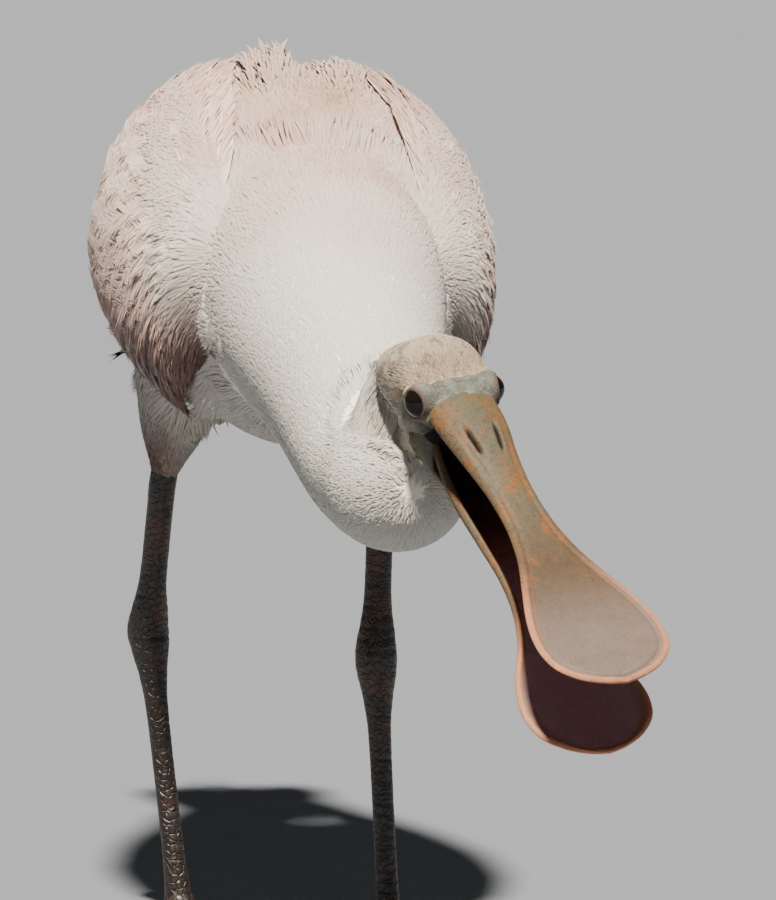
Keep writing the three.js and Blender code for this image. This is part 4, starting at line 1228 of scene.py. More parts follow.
def bill_material(look):
    """Bill: greenish grey base with orange stains, a mauve spoon with a peach rim and fine rays. Painted
    shade turns the inside near black towards the root, and the nostril slits near black.
    """
    shader = Shader("bill_horn", Specular_IOR_Level=0.12, Subsurface_Weight=0.04)
    along, rim = shader.attribute("along"), shader.attribute("rim")
    mottle = shader.noise(5.0, 4.0, 0.6)
    fine = shader.noise(1.1, 3.0, 0.6)
    colour = shader.mix(along.step(0.32, 0.62), look.bill_base, look.bill_middle)
    colour = shader.mix((along.step(0.58, 0.86)).clamp(), colour, look.spoon)
    blotch = ((mottle - 0.5) * 3.0 * (1 - along.step(0.5, 0.95))).clamp()
    colour = shader.mix(blotch * 0.6, colour, look.bill_stain)
    stain = (shader.attribute("orange") * (fine * 3.0 + mottle * 1.8 - 1.75)).clamp() * 0.85
    colour = shader.mix(stain, colour, look.bill_orange)
    streak = shader.noise(1.6, 4.0, 0.65).step(0.50, 0.66) * (1 - along.step(0.55, 0.85))
    colour = shader.mix(streak * 0.6, colour, look.dirt)
    colour = shader.mix((rim * (mottle * 0.5 + 0.65)).clamp(), colour, look.rim)
    speck = (fine.step(0.54, 0.66) * mottle.step(0.40, 0.6) * shader.attribute("dirt") * 1.8).clamp()
    colour = shader.mix(speck, colour, look.dirt)
    colour = shader.mix(shader.attribute("inside"), colour, look.inside)
    # Painted shade: the inside of the bill near black towards the root
    colour = shader.mix(shader.attribute("throat"), colour, look.mouth_shade)
    # Painted shade: the nostril slits near black
    colour = shader.mix(shader.attribute("slit"), colour, look.mouth_shade)
    rays = shader.attribute("ray").math("SINE") * along.step(0.80, 0.97)
    shader.bump(mottle * 0.4 + fine * 0.35 + rays * 0.05, 0.5, 0.7)
    shade = rays * 0.02 + fine * 0.42 + mottle * 0.40 + 0.56
    return shader.finish(shader.tint(colour, shade), mottle * 0.2 + 0.42 + shader.attribute("slit") * 0.3)


def face_material(look):
    """Bare face: blue grey skin with fine wrinkles, ochre stain, painted shade in its creases and near black
    painted shade in the mouth's corner and the jaw's cleft.
    """
    shader = Shader("bare_skin", Specular_IOR_Level=0.15, Subsurface_Weight=0.05)
    mottle = shader.noise(4.0, 4.0, 0.6)
    wrinkle = shader.cells(1.5)
    pale = (mottle.step(0.35, 0.7) + shader.attribute("pale")).clamp()
    colour = shader.mix(pale, look.face, look.face_pale)
    grain = shader.noise(1.0, 3.0, 0.6)
    colour = shader.mix((shader.attribute("orange") * (grain * 2.0 - 0.2)).clamp(), colour, look.bill_stain)
    # Painted shade in the crease along the feathers' edge and between the jaw strip's raised grains
    colour = shader.mix((shader.attribute("crease") * (grain * 2.0 - 0.2)).clamp(), colour, look.crease)
    colour = shader.mix(shader.attribute("lid"), colour, look.lid)
    # Painted shade: the mouth's corner and the cleft under the jaw near black
    colour = shader.mix(shader.attribute("slit"), colour, look.mouth_shade)
    shader.bump(mottle * 0.6 + wrinkle.step(0.0, 0.12) * 0.35, 0.45, 0.8)
    return shader.finish(shader.tint(colour, mottle * 0.4 + 0.78), mottle * 0.2 + 0.5)


def mouth_material(look):
    """Lining of the mouth, damp, near black as painted shade."""
    shader = Shader("mouth_lining", Roughness=0.7, Specular_IOR_Level=0.05)
    fold = shader.noise(2.5)
    shader.bump(fold, 0.4)
    return shader.finish(shader.mix(fold * 0.08, look.mouth_shade, look.inside))


def eye_material(look):
    """Eye: black pupil in a dark brown iris under a clear cornea."""
    shader = Shader("eye", Roughness=0.1, Specular_IOR_Level=0.22)
    ring = shader.attribute("ring")
    streak = shader.noise(0.6, 2.0)
    iris = shader.mix(streak.step(0.3, 0.7), look.iris, look.iris_deep)
    colour = shader.mix(ring.step(0.40, 0.46), look.pupil, iris)
    return shader.finish(shader.mix(ring.step(0.72, 0.85), colour, look.pupil))


def leg_material(look):
    """Scaled leg: dark plates with paler seams and rusty patches."""
    shader = Shader("scaled_leg", Coat_Weight=0.12, Coat_Roughness=0.3)
    plate = shader.cells(2.6)
    patch = shader.noise(16.0, 3.0)
    fine = shader.noise(1.5)
    seam = 1 - plate.step(0.02, 0.10)
    colour = shader.mix((patch.step(0.48, 0.64) * shader.attribute("rust")).clamp(), look.leg, look.leg_rust)
    colour = shader.mix(seam * 0.35, colour, look.leg_seam)
    shader.bump(plate.step(0.0, 0.16) + fine * 0.3, 0.5, 0.8)
    return shader.finish(shader.tint(colour, fine * 0.5 + 0.75), fine * 0.25 + 0.35)


def claw_material(look):
    """Claw: dark horn with fine growth lines."""
    shader = Shader("claw_horn", Coat_Weight=0.2)
    line = shader.noise(0.9, 2.0)
    shader.bump(line, 0.1)
    return shader.finish(shader.mix(line, look.claw, look.leg_seam), line * 0.2 + 0.3)


# Body

FLESH = ["torso", "neck_lower", "neck_upper", "head", "thigh_left", "thigh_right"]


def make_skin(look):
    """Skin of the whole body, with its markings."""
    mesh = build_skin()
    points, _, _ = mesh_arrays(mesh)
    add_numbers(mesh, markings(points))
    add_piece("skin", mesh, skin_material(look), FLESH)


# Ruffled places of the back: side, distance back, half width, half length, height
RUFFLES = [
    (-12, 36, 11, 24, 10.5),
    (17, 34, 12, 22, 6.5),
]


def coat_sizes(zone, roots):
    """Length, half width, rise, sink and clump size of the tufts of a zone, in millimetres."""
    ones = np.ones(len(roots))
    head = to_head(roots)
    trunk = to_trunk(roots)
    if zone == "head":
        clear = np.clip(feather_line(head) / 14.0, 0, 1)
        crown = smooth(-16, -4, head[:, 2])
        return (2.2 + (4.6 - 1.2 * crown) * clear, 0.21 + 0.12 * clear, 0.45 + (0.85 - 0.35 * crown) * clear,
                0.3 * ones, 3.0 * ones)
    if zone == "neck_top":
        return 8.0 * ones, 0.34 * ones, 0.62 * ones, 0.5 * ones, 4.0 * ones
    if zone == "neck":
        low = smooth(-190, -110, trunk[:, 1])
        return 11.0 + 2.5 * low, 0.42 + 0.11 * low, 0.36 + 0.09 * low, 0.7 * ones, 5.5 * ones
    if zone == "thigh":
        low = smooth(186, 205, roots[:, 2])
        return 6.5 + 5.0 * low, 0.40 + 0.12 * low, 0.55 * ones, 0.7 * ones, 6.0 * ones
    above = smooth(0, 45, trunk[:, 2])
    ruffle = 0.0
    for side, back, wide, long, height in RUFFLES:
        away = ((trunk[:, 0] - side) / wide) ** 2 + ((trunk[:, 1] - back) / long) ** 2
        ruffle = ruffle + height * above * np.exp(-away)
    return (13.5 + 4.0 * above + 0.6 * ruffle, 0.53 + 0.12 * above, 0.45 + 0.15 * above + ruffle, 0.8 * ones,
            6.5 + 2.5 * above)


def make_coat(look, sizes):
    """Small feathers over the whole skin, in pieces by zone."""
    points, normals, triangles = mesh_arrays(bpy.data.objects["skin"].data)
    skin = points, normals, triangles, bending(points, normals, triangles, lie_at(points, normals)[0])
    middle = points[triangles].mean(axis=1)
    facing = unit(normals[triangles].mean(axis=1))
    _, shares, unwrap = lie_at(middle, facing)
    zone = shares.argmax(axis=1)
    left = middle[:, 0] > TRUNK_CENTRE[0]
    covered = under_wing(middle)
    top_neck = unwrap[:, 1] < 0.27
    head = to_head(middle)
    beside = np.where(head[:, 2] > -21, 24, 12.8)
    bare = (feather_line(head) < 0.2) & (head[:, 2] > -35) & (np.abs(head[:, 0]) < beside)
    trunk = (zone == 2) & ~covered
    # Piece: kind of tufts, triangles of the skin that it covers, spacing
    parts = {
        "coat_head": ("head", (zone == 0) & ~bare, sizes.head_spacing),
        "coat_neck_top": ("neck_top", (zone == 1) & top_neck & ~bare, sizes.neck_top_spacing),
        "coat_neck_left": ("neck", (zone == 1) & ~top_neck & left, sizes.neck_spacing),
        "coat_neck_right": ("neck", (zone == 1) & ~top_neck & ~left, sizes.neck_spacing),
        "coat_trunk_left": ("trunk", trunk & left, sizes.trunk_spacing),
        "coat_trunk_right": ("trunk", trunk & ~left, sizes.trunk_spacing),
        "coat_thighs": ("thigh", zone > 2, sizes.thigh_spacing),
    }
    material = coat_material(look)
    for seed, (name, (kind, keep, spacing)) in enumerate(parts.items(), start=40):
        roots, facing, bend = scatter(skin, spacing, seed, keep)
        flow, _, places = lie_at(roots, facing)
        tuft_piece(name, roots, facing, flow, bend, coat_sizes(kind, roots), places, material, seed)


# Wings and tail. Tiers: feathers, first and last root, first and last tip, width, lifts
FLIGHT_TIERS = [
    (8, (34, 0.42), (24, 0.80), (252, 0.30), (206, 0.80), 16, (-8.0, -6.4)),
    (14, (26, 0.30), (4, 0.93), (186, 0.42), (80, 0.90), 18, (-5.8, -2.6)),
    (5, (32, 0.05), (44, 0.24), (164, 0.10), (206, 0.36), 21, (-5.2, -0.8)),
]
COVERT_TIERS = [
    (16, (-4, 0.12), (-20, 0.84), (78, 0.27), (34, 1.02), 18, (-5.2, -1.6)),
    (18, (-16, 0.08), (-29, 0.78), (42, 0.25), (10, 1.01), 16, (-5.0, -1.3)),
    (20, (-24, 0.04), (-32, 0.74), (14, 0.22), (-8, 1.0), 14.5, (-4.8, -1.0)),
]
LESSER_TIERS = [
    (21, (-40, 0.02), (-44, 0.70), (-8, 0.20), (-22, 0.97), 13, (-4.4, -0.9)),
    (22, (-52, 0.02), (-54, 0.68), (-26, 0.20), (-34, 0.95), 12, (-4.2, -0.7)),
    (22, (-61, 0.04), (-63, 0.66), (-40, 0.22), (-46, 0.93), 11, (-4.2, -0.6)),
]
SCAPULAR_TIERS = [
    (6, (-46, 0.00), (-34, 0.18), (24, -0.04), (34, 0.20), 17, (-4.5, -1.6)),
    (6, (-24, -0.02), (-16, 0.16), (58, -0.04), (68, 0.18), 18, (-4.5, -1.2)),
    (6, (2, -0.02), (8, 0.14), (92, -0.02), (108, 0.16), 19, (-4.5, -0.6)),
]
TAIL_TIERS = [
    (14, (148, 0.10), (148, 0.90), (246, 0.05), (246, 0.95), 22, (-4.0, -1.2)),
    (9, (138, 0.14), (138, 0.86), (190, 0.10), (190, 0.90), 17, (-2.0, 1.6)),
    (8, (126, 0.16), (126, 0.84), (170, 0.14), (170, 0.86), 15, (-1.0, 3.2)),
]
TAIL_ROOT = 150.0
TAIL_LENGTH = 96.0
TAIL_NARROW = 13.0
TAIL_WIDE = 25.0
TAIL_HEIGHT = -17.0
TAIL_DROOP = 15.0
TAIL_ARCH = 190.0


def tail_point(back, share, lift=0.0):
    """Point on the tail's upper face in the trunk frame. It widens and droops behind and arches across."""
    back, share, lift = np.broadcast_arrays(np.asarray(back, float), np.asarray(share, float),
                                            np.asarray(lift, float))
    opened = (back - TAIL_ROOT) / TAIL_LENGTH
    x = (TAIL_NARROW + TAIL_WIDE * opened) * (2 * share - 1)
    return np.stack([x, back, TAIL_HEIGHT - TAIL_DROOP * opened - x ** 2 / TAIL_ARCH + lift], axis=-1)


def tier_arrays(tiers, seed):
    """Roots, tips, lifts and widths of tiers of feathers, spread evenly and varied a little."""
    random = np.random.default_rng(seed)
    roots, tips, lifts, widths = [], [], [], []
    for count, root_first, root_last, tip_first, tip_last, width, lift in tiers:
        share = np.linspace(0, 1, count)[:, None]
        root = np.array(root_first) + (np.array(root_last) - np.array(root_first)) * share
        tip = np.array(tip_first) + (np.array(tip_last) - np.array(tip_first)) * share
        length = np.abs(tip[:, 0] - root[:, 0])
        stray = [length * random.normal(0, 0.055, count), random.normal(0, 0.010, count)]
        tip = tip + np.stack(stray, axis=1)
        roots.append(root + random.normal(0, 1, (count, 2)) * np.array([1.4, 0.004]))
        tips.append(tip)
        stack = np.where(np.arange(count) % 2 == 0, 0.45, -0.15)
        lifts.append(np.array(lift) + stack[:, None] + random.normal(0, 0.22, (count, 2)))
        widths.append(width * random.uniform(0.92, 1.1, count))
    return [np.concatenate(part) for part in (roots, tips, lifts, widths)]


# How each kind of feather is finished: tilt and bulge across, barbs, frayed share of the edges, wing markings
FINISHES = {
    "flight": {"tilt": 1.0, "camber": 0.5, "barbs": 170, "ragged": 0.22, "wing": True},
    "coverts": {"tilt": 1.0, "camber": 0.6, "barbs": 110, "ragged": 0.3, "wing": True},
    "lesser": {"tilt": 0.9, "camber": 0.6, "barbs": 80, "ragged": 0.34, "wing": True},
    "scapulars": {"tilt": 0.9, "camber": 0.6, "barbs": 130, "ragged": 0.4, "wing": False},
    "tail": {"tilt": 0.8, "camber": 0.6, "barbs": 150, "ragged": 0.16, "wing": True},
}


def make_wings(look):
    """Folded wings: flight feathers, three sizes of coverts and the scapulars over their upper edge."""
    flight = vane_material(look, "flight_feathers", 0.55, 0.6)
    covert = vane_material(look, "covert_feathers", 0.8, 0.42)
    small = vane_material(look, "scapular_feathers", 0.7, 0.12)
    for side_name, side in SIDES.items():
        def face(back, share, lift=0.0, side=side):
            """Outer face of this wing."""
            return wing_point(back, share, side, lift)
        sets = [("flight", FLIGHT_TIERS, flight), ("coverts", COVERT_TIERS, covert),
                ("lesser", LESSER_TIERS, covert), ("scapulars", SCAPULAR_TIERS, small)]
        for index, (kind, tiers, material) in enumerate(sets):
            finish = dict(FINISHES[kind], tilt=FINISHES[kind]["tilt"] * side)
            replaced = (f"wing_{side_name}",) if kind == "flight" else ()
            feather_set(f"wing_{side_name}_{kind}", face, tiers, finish, material, 70 + 10 * index + side,
                        replaced)
    make_mantle(coat_material(look))


# Soft plumage over the wing. Sizes are length, half width, rise, sink and clump size
MANTLE_SPACING = 1.02
MANTLE_TRIALS = 80000
MANTLE_SIZES = (12.5, 0.66, 0.5, 0.8, 8.0)
WING_BEND = 0.011


def mantle_cover(back, share):
    """How far the soft plumage covers a place on the wing: its upper part and its front margin."""
    streak = fine_noise(np.stack([back, share * 200, 0 * back], axis=-1), 14.0, 41.0)
    upper = smooth(0.34, 0.20, share + 0.06 * streak + 0.0009 * (back + 40))
    rear = smooth(95, 40, back + 14 * streak)
    front = smooth(-52, -64, back + 7 * streak - 22 * (2 * share - 1.1) ** 2)
    return np.maximum(upper * rear, front)


def make_mantle(material):
    """Soft plumage that lies over the wing's upper part and its front edge, blending it into the body."""
    for side_name, side in SIDES.items():
        random = np.random.default_rng(90 + side)
        back = random.uniform(-82, 100, MANTLE_TRIALS)
        share = random.uniform(-0.18, 0.92, MANTLE_TRIALS)
        cover = mantle_cover(back, share)
        keep = cover > random.random(MANTLE_TRIALS)
        back, share, cover = back[keep], share[keep], cover[keep]
        edge = np.maximum(smooth(0.04, -0.10, share), smooth(-60, -76, back))
        lift = 0.1 + 0.4 * random.random(len(back)) - pad_sink(back, share) * edge - 1.8 * (1 - cover)
        here = wing_point(back, share, side, lift)
        ahead = wing_point(back + 0.5, share, side, lift) - here
        down = wing_point(back, share + 0.004, side, lift) - here
        facing = unit(np.cross(unit(down), unit(ahead))) * side
        slope = (0.45 + 0.3 * smooth(-35, -60, back) + 0.2 * share) * smooth(1.0, 0.6, share)
        flow = unit(unit(ahead) + unit(down) * slope[:, None])
        first = thinned(here, MANTLE_SPACING)
        roots = from_trunk(here[first])
        facing, flow = facing[first] @ TRUNK_TURN.T, flow[first] @ TRUNK_TURN.T
        ones = np.ones(len(roots))
        sizes = [size * ones for size in MANTLE_SIZES]
        places = lie_at(roots, facing)[2]
        tuft_piece(f"mantle_{side_name}", roots, facing, flow, WING_BEND * ones, sizes, places, material,
                   95 + side, True)


def make_tail(look):
    """Tail fan with its coverts."""
    material = vane_material(look, "tail_feathers", 0.22, 0.3)
    feather_set("tail_fan", tail_point, TAIL_TIERS, FINISHES["tail"], material, 120, ("tail",))


# Face, bill and eyes

FACE_BACK = 10.0
FACE_FRONT = -14.4
LID_RADIUS = 7.05


def eye_axes(side):
    """Centre of an eye and the way it looks, in the head frame."""
    mirror = np.array([side, 1.0, 1.0])
    return EYE_CENTRE * mirror, unit(EYE_LOOK * mirror)


def lids(points, lid):
    """Points pressed round both eyes: a smooth maximum of the skull and a sphere a little over the eye.

    Inside the opening the sphere is smaller than the eye, so that the eye shows.
    """
    for side in SIDES.values():
        centre, look = eye_axes(side)
        offset = points - centre
        out = offset @ look
        across = offset - out[:, None] * look
        radius = np.linalg.norm(across, axis=1)
        far = np.linalg.norm(offset, axis=1)
        # Distance from the eye's middle: a soft maximum of the skull's and the lid's
        soft = (far + LID_RADIUS + np.sqrt((far - LID_RADIUS) ** 2 + 0.8)) / 2
        near = (out > -3.0) & (far < 14)
        fold = 0.12 * np.sin(radius * 4.2) * smooth(6.4, 7.4, radius) * smooth(11.0, 8.0, radius)
        aim = offset / np.maximum(far, 1e-6)[:, None]
        open_share = 1 - smooth(EYE_OPENING - 0.35, EYE_OPENING + 0.35, radius * soft / far)
        reach = np.where(out > 0, soft + (EYE_RADIUS - 0.8 - soft) * open_share, soft)
        points = np.where(near[:, None], centre + aim * (reach + fold)[:, None], points)
        spread = np.linalg.norm(across, axis=1) * soft / far
        rim = np.exp(-((spread - 6.1) / 0.6) ** 2) * (out > 0)
        lid[:] = np.maximum(lid, np.where(near, rim, 0.0))
    return points


def make_face(look):
    """Bare skin of the face: the front of the skull with lids, wrinkles and the corner of the mouth.

    It stands a little proud in front of the feathers' edge and dives under the skin behind it.
    """
    rows, around = 140, 280
    back = np.linspace(FACE_FRONT, FACE_BACK, rows)
    values = table_at(SKULL, back)
    grid = cross_ring(back, values[:, 1], values[:, 2], values[:, 3], around, squareness(back))
    middle = (values[:, 2] + values[:, 3]) / 2
    way = unit(grid - np.stack([0 * middle, back, middle], axis=-1)[:, None])
    flat = grid.reshape(-1, 3)
    clear = -feather_line(flat)
    lift = -3.4 + 3.7 * smooth(-2.2, 0.5, clear) - 1.0 * smooth(-11.5, -14.2, flat[:, 1])
    lift = lift + 0.22 * fine_noise(flat, 2.2, 8.0) + 0.32 * fine_noise(flat, 5.0, 9.0)
    lift = lift + 0.25 * np.exp(-((clear - 1.4) / 0.8) ** 2) - 0.3 * np.exp(-((clear - 0.2) / 0.5) ** 2)
    lid = np.zeros(len(flat))
    points = lids(flat + way.reshape(-1, 3) * lift[:, None], lid)
    gape = smooth(-6.5, -11.0, flat[:, 1]) * smooth(-9.5, -12.5, flat[:, 2])
    points = points * np.stack([1 - 0.4 * gape, 1 + 0 * gape, 1 + 0 * gape], axis=1)
    strip = np.exp(-((flat[:, 2] + 24 + 0.5 * flat[:, 1]) / 3.5) ** 2) * smooth(1, -5, flat[:, 1])
    base = smooth(-9, -13.5, flat[:, 1]) * smooth(-12, -7, flat[:, 2])
    grain = fine_noise(flat, 2.6, 11.0)
    attributes = {
        "orange": np.clip((strip + 0.7 * base) * (0.55 + 0.8 * grain), 0, 1),
        # Painted shade in the crease along the feathers' edge
        "crease": np.clip(np.exp(-((clear - 0.1) / 0.55) ** 2) * (0.55 + 0.5 * grain), 0, 1),
        "lid": lid * 0.85,
        "pale": 0.8 * smooth(-12, -18, flat[:, 2]),
        # Painted shade: near black in the mouth's corner
        "slit": np.clip(gape * 1.2, 0, 1),
    }
    grid_faces = tube(points.reshape(rows, around, 3))[1][0]
    mesh = new_mesh("bare_face", from_head(points), [grid_faces], attributes)
    material = face_material(look)
    add_piece("bare_face", mesh, material)
    make_jaw(material)


def make_jaw(material):
    """Bare skin of the lower jaw and throat, that dives under the feathers' skin behind their edge."""
    rows, around = 110, 160
    grid = section_rings(JAW, rows, around, -0.3)
    middle = grid.mean(axis=1, keepdims=True)
    flat = grid.reshape(-1, 3)
    way = unit(grid - middle).reshape(-1, 3)
    clear = -feather_line(flat)
    lift = -3.4 + 3.6 * smooth(-2.2, 0.5, clear)
    lift = lift + 0.2 * fine_noise(flat, 2.0, 31.0)
    lift = lift + 0.35 * fine_noise(flat * np.array([1, 0.5, 1]), 4.0, 32.0)
    grain = fine_noise(flat, 1.6, 33.0)
    strip = np.exp(-((clear - 1.4) / 2.0) ** 2)
    lift = lift + 0.5 * strip * np.maximum(grain, 0)
    cleft = smooth(1.2, -0.6, np.abs(flat[:, 0]) + 0.35 * flat[:, 1] - 3.4)
    attributes = {
        "orange": np.clip(strip * (0.7 + 0.8 * grain), 0, 1),
        # Painted shade in the low places between the strip's raised grains
        "crease": np.clip(strip * smooth(0.15, 0.6, -grain) * 1.4, 0, 1),
        "lid": np.zeros(len(flat)),
        "pale": np.ones(len(flat)),
        # Painted shade: near black in the cleft under the jaw
        "slit": smooth(-30.5, -28.8, flat[:, 2]) * cleft,
    }
    add_tube("jaw_skin", (flat + way * lift[:, None]).reshape(rows, around, 3), attributes, material)


def bill_grid(table, rows, around, exponent):
    """Grid of a bill half: distance forward, angle round the section, and the section's table values."""
    values = stations(table, np.linspace(0, len(table) - 1, rows))
    angle = np.linspace(0, 2 * np.pi, around, endpoint=False)
    forward = values[:, 0]
    half = np.maximum(values[:, 1], 0.4)
    top, under = values[:, 2], values[:, 3]
    middle, height = (top + under) / 2, (top - under) / 2
    exponent = exponent(forward)[:, None]
    x = half[:, None] * power(np.cos(angle)[None], exponent)
    z = middle[:, None] + height[:, None] * power(np.sin(angle)[None], exponent)
    return values, angle, x, z


def edge_distance(forward, half, x):
    """Distance to the rim of the bill: the lesser of the distances to its side and to its tip."""
    side = half[:, None] - np.abs(x)
    slope = np.gradient(half, forward)[:, None]
    return np.maximum(side, 0) / np.sqrt(1 + slope ** 2)


# Orange spots of the upper bill: side and distance forward, radius, strength
ORANGE_SPOTS = [
    ((-9.5, 15.0), 4.2, 0.9),
    ((4.0, 11.5), 4.0, 0.55),
    ((1.6, 54.0), 6.0, 0.8),
    ((3.0, 44.0), 4.0, 0.5),
    ((10.5, 24.0), 4.0, 0.6),
]


def bill_attributes(forward, x, distance, inside, points, seed):
    """Colour shares of a bill half at its points."""
    length = forward.max()
    along = np.broadcast_to((forward / length)[:, None], x.shape)
    grain = fine_noise(points, 3.0, seed).reshape(x.shape)
    spoon = smooth(84, 118, forward)[:, None]
    rim = np.exp(-(distance / 2.3) ** 2) * (0.06 + 0.94 * spoon)
    dirt = np.exp(-(distance / 2.0) ** 2) * (1 - 0.7 * spoon) + 0.34 * (1 - spoon)
    ray = np.arctan2(x, np.maximum(forward - 84, 4)[:, None]) * 170
    stretched = fine_noise(points * np.array([1.0, 0.4, 1.0]), 5.0, seed + 2).reshape(x.shape)
    sides = np.exp(-((distance - 2.6) / 2.6) ** 2) * smooth(-0.35, 0.25, stretched)
    patches = smooth(0.18, 0.5, stretched) * 0.8
    ahead = forward[:, None]
    spots = sum(strength * np.exp(-(((x - side) / radius) ** 2 + ((ahead - place) / radius) ** 2))
                for (side, place), radius, strength in ORANGE_SPOTS)
    orange = np.clip((sides + patches + spots) * (1 - 0.85 * spoon) * (0.7 + 0.5 * grain), 0, 1)
    return {
        "along": along.ravel(),
        "rim": np.clip(rim * (1 - inside * 0.4), 0, 1).ravel(),
        "dirt": np.clip(dirt, 0, 1).ravel(),
        "orange": orange.ravel(),
        "inside": np.clip(inside, 0, 1).ravel(),
        # Painted shade: the inside turns near black towards the bill's root
        "throat": np.clip(inside * smooth(96, 44, forward)[:, None], 0, 1).ravel(),
        "ray": ray.ravel(),
    }


def make_upper_bill(material):
    """Upper bill: a domed base with slit nostrils, a groove along the edge and a flat, round-rimmed spoon."""
    rows, around = 250, 190
    values, angle, x, z = bill_grid(UPPER_BILL, rows, around,
                                    lambda forward: 1 - 0.2 * smooth(45, 62, forward))
    forward, half, ridge, edge = values.T
    middle = (ridge + edge) / 2
    share = np.abs(x) / np.maximum(half, 0.4)[:, None]
    above = (np.sin(angle) > 0)[None] * np.ones_like(x)
    hollow = 0.72 * (ridge - middle)[:, None] * (1 - share ** 2)
    drop = (middle[:, None] - z) * 0.6
    z = np.where(above > 0, z, z + drop + hollow * smooth(3, 16, forward)[:, None]
                 * smooth(157, 140, forward)[:, None])
    distance = edge_distance(forward, half, x)
    spoon = smooth(84, 112, forward)[:, None]
    groove = np.exp(-((distance - 3.6) / 0.9) ** 2) * (0.25 + 0.3 * spoon) * smooth(26, 40, forward)[:, None]
    bead = np.exp(-((distance - 1.5) / 1.3) ** 2) * (0.2 + 0.45 * spoon)
    z = z + above * (bead - groove)
    slit = np.zeros_like(x)
    lip = np.zeros_like(x)
    for side in SIDES.values():
        u = x - side * (NOSTRIL["side"] + NOSTRIL["slant"] * (forward - NOSTRIL["forward"]))[:, None]
        v = (forward - NOSTRIL["forward"])[:, None] / NOSTRIL["half"]
        inside_slit = np.exp(-(u / NOSTRIL["width"]) ** 2 * 1.3 - v ** 4 * 1.2)
        slit = np.maximum(slit, inside_slit)
        lip = np.maximum(lip, np.exp(-((np.abs(u) - 2.0) / 0.8) ** 2 - v ** 4))
    z = z + above * (0.10 * lip - NOSTRIL["depth"] * slit)
    grid = np.stack([x, np.broadcast_to(-forward[:, None], x.shape), z], axis=-1)
    points = grid.reshape(-1, 3)
    grain = fine_noise(points, 2.0, 14.0) * 0.16 * (1 - 0.6 * np.ravel(spoon * np.ones_like(x)))
    points = points + np.array([0, 0, 1.0]) * (grain * above.ravel())[:, None]
    attributes = bill_attributes(forward, x, distance, (1 - above) * smooth(0.6, 1.6, distance), points, 15.0)
    # Painted shade: the nostril slits are coloured near black
    attributes["slit"] = np.clip(slit * above * 2.4 - 0.5, 0, 1).ravel()
    add_tube("bill_upper_horn", points.reshape(rows, around, 3), attributes, material, ("bill_upper",))


def make_lower_bill(material):
    """Lower bill: two rami with a deep trough between them, that open into a shallow, soft-rimmed spoon."""
    rows, around = 230, 120
    values, angle, x, z = bill_grid(LOWER_BILL, rows, around, lambda forward: 0.85 + 0 * forward)
    forward, half, edge, under, trough = values.T
    share = np.abs(x) / np.maximum(half, 0.4)[:, None]
    above = (np.sin(angle) > 0)[None] * np.ones_like(x)
    spoon = smooth(86, 114, forward)[:, None]
    flat = 1 - smooth(0.5 + 0.2 * spoon, 0.86 + 0.06 * spoon, share)
    deep = np.minimum(trough, (edge - under) - 1.4)[:, None]
    z = z - above * deep * flat
    distance = edge_distance(forward, half, x)
    bead = np.exp(-((distance - 1.3) / 1.2) ** 2) * (0.15 + 0.4 * spoon)
    z = z + above * bead
    points = np.stack([x, np.broadcast_to(-forward[:, None], x.shape), z], axis=-1).reshape(-1, 3)
    points = points + np.array([0, 0, 1.0]) * (fine_noise(points, 2.2, 16.0) * 0.12)[:, None]
    inside = above * flat * smooth(1.6, 4.2, distance)
    attributes = bill_attributes(forward, x, distance, inside, points, 17.0)
    attributes["slit"] = np.zeros(len(points))
    add_tube("bill_lower_horn", points.reshape(rows, around, 3), attributes, material, ("bill_lower",))


def make_mouth(look):
    """Lining that closes the mouth behind the bill, near black as painted shade: rings that narrow towards
    the front.
    """
    table = [(3, 12.0, -10, -26), (-2, 12.2, -9.6, -26), (-6, 11.6, -9.4, -26.2), (-9, 10.2, -9.4, -26.6),
             (-11, 7.0, -9.8, -26.8), (-11.6, 2.0, -12, -25)]
    values = stations(table, np.linspace(0, len(table) - 1, 30))
    place, half, top, bottom = values.T
    add_tube("mouth_lining", cross_ring(place, half, top, bottom, 48), {}, mouth_material(look))


def make_eyes(look):
    """Eyes: balls with the pupil and iris given by the distance from the way they look."""
    material = eye_material(look)
    for side_name, side in SIDES.items():
        centre, way = eye_axes(side)
        points, faces = tube(ball(centre, (EYE_RADIUS,) * 3, 64, 96))
        offset = points - centre
        out = offset @ way
        ring = np.linalg.norm(offset - out[:, None] * way, axis=1) / EYE_OPENING
        ring = np.where(out > 0, ring, 2.0)
        points = points + way * (0.35 * smooth(0.9, 0.2, ring))[:, None]
        mesh = new_mesh(f"eyeball_{side_name}", from_head(points), outward(points, faces), {"ring": ring})
        add_piece(f"eyeball_{side_name}", mesh, material, (f"eye_{side_name}",))


# Legs

LEG_VOXEL = 0.8
LEG_SMOOTHING = 4


def toe_places(leg, spread, distance):
    """Sides and distances back of places on a toe, at distances from the knuckle."""
    angle = math.radians((spread - leg["turn"]) * leg["inward"])
    return [leg["foot"][0] + np.sin(angle) * distance, leg["foot"][1] - np.cos(angle) * distance]


def toe_line(leg, toe):
    """Rings' table of a toe: it lies on the floor and rises to the knuckle."""
    length, spread = TOES[toe]
    share = np.linspace(0, 1, 12)
    radius = TOE_RADIUS * (1 - 0.38 * share) * (1 + 0.10 * np.cos(share * math.pi * 8) ** 2)
    height = radius * 0.95 - TOE_SINK + 3.2 * (1 - share) ** 3
    return np.stack([*toe_places(leg, spread, MIDDLE_TOE * length * share), height, radius, radius * 0.95],
                    axis=1)


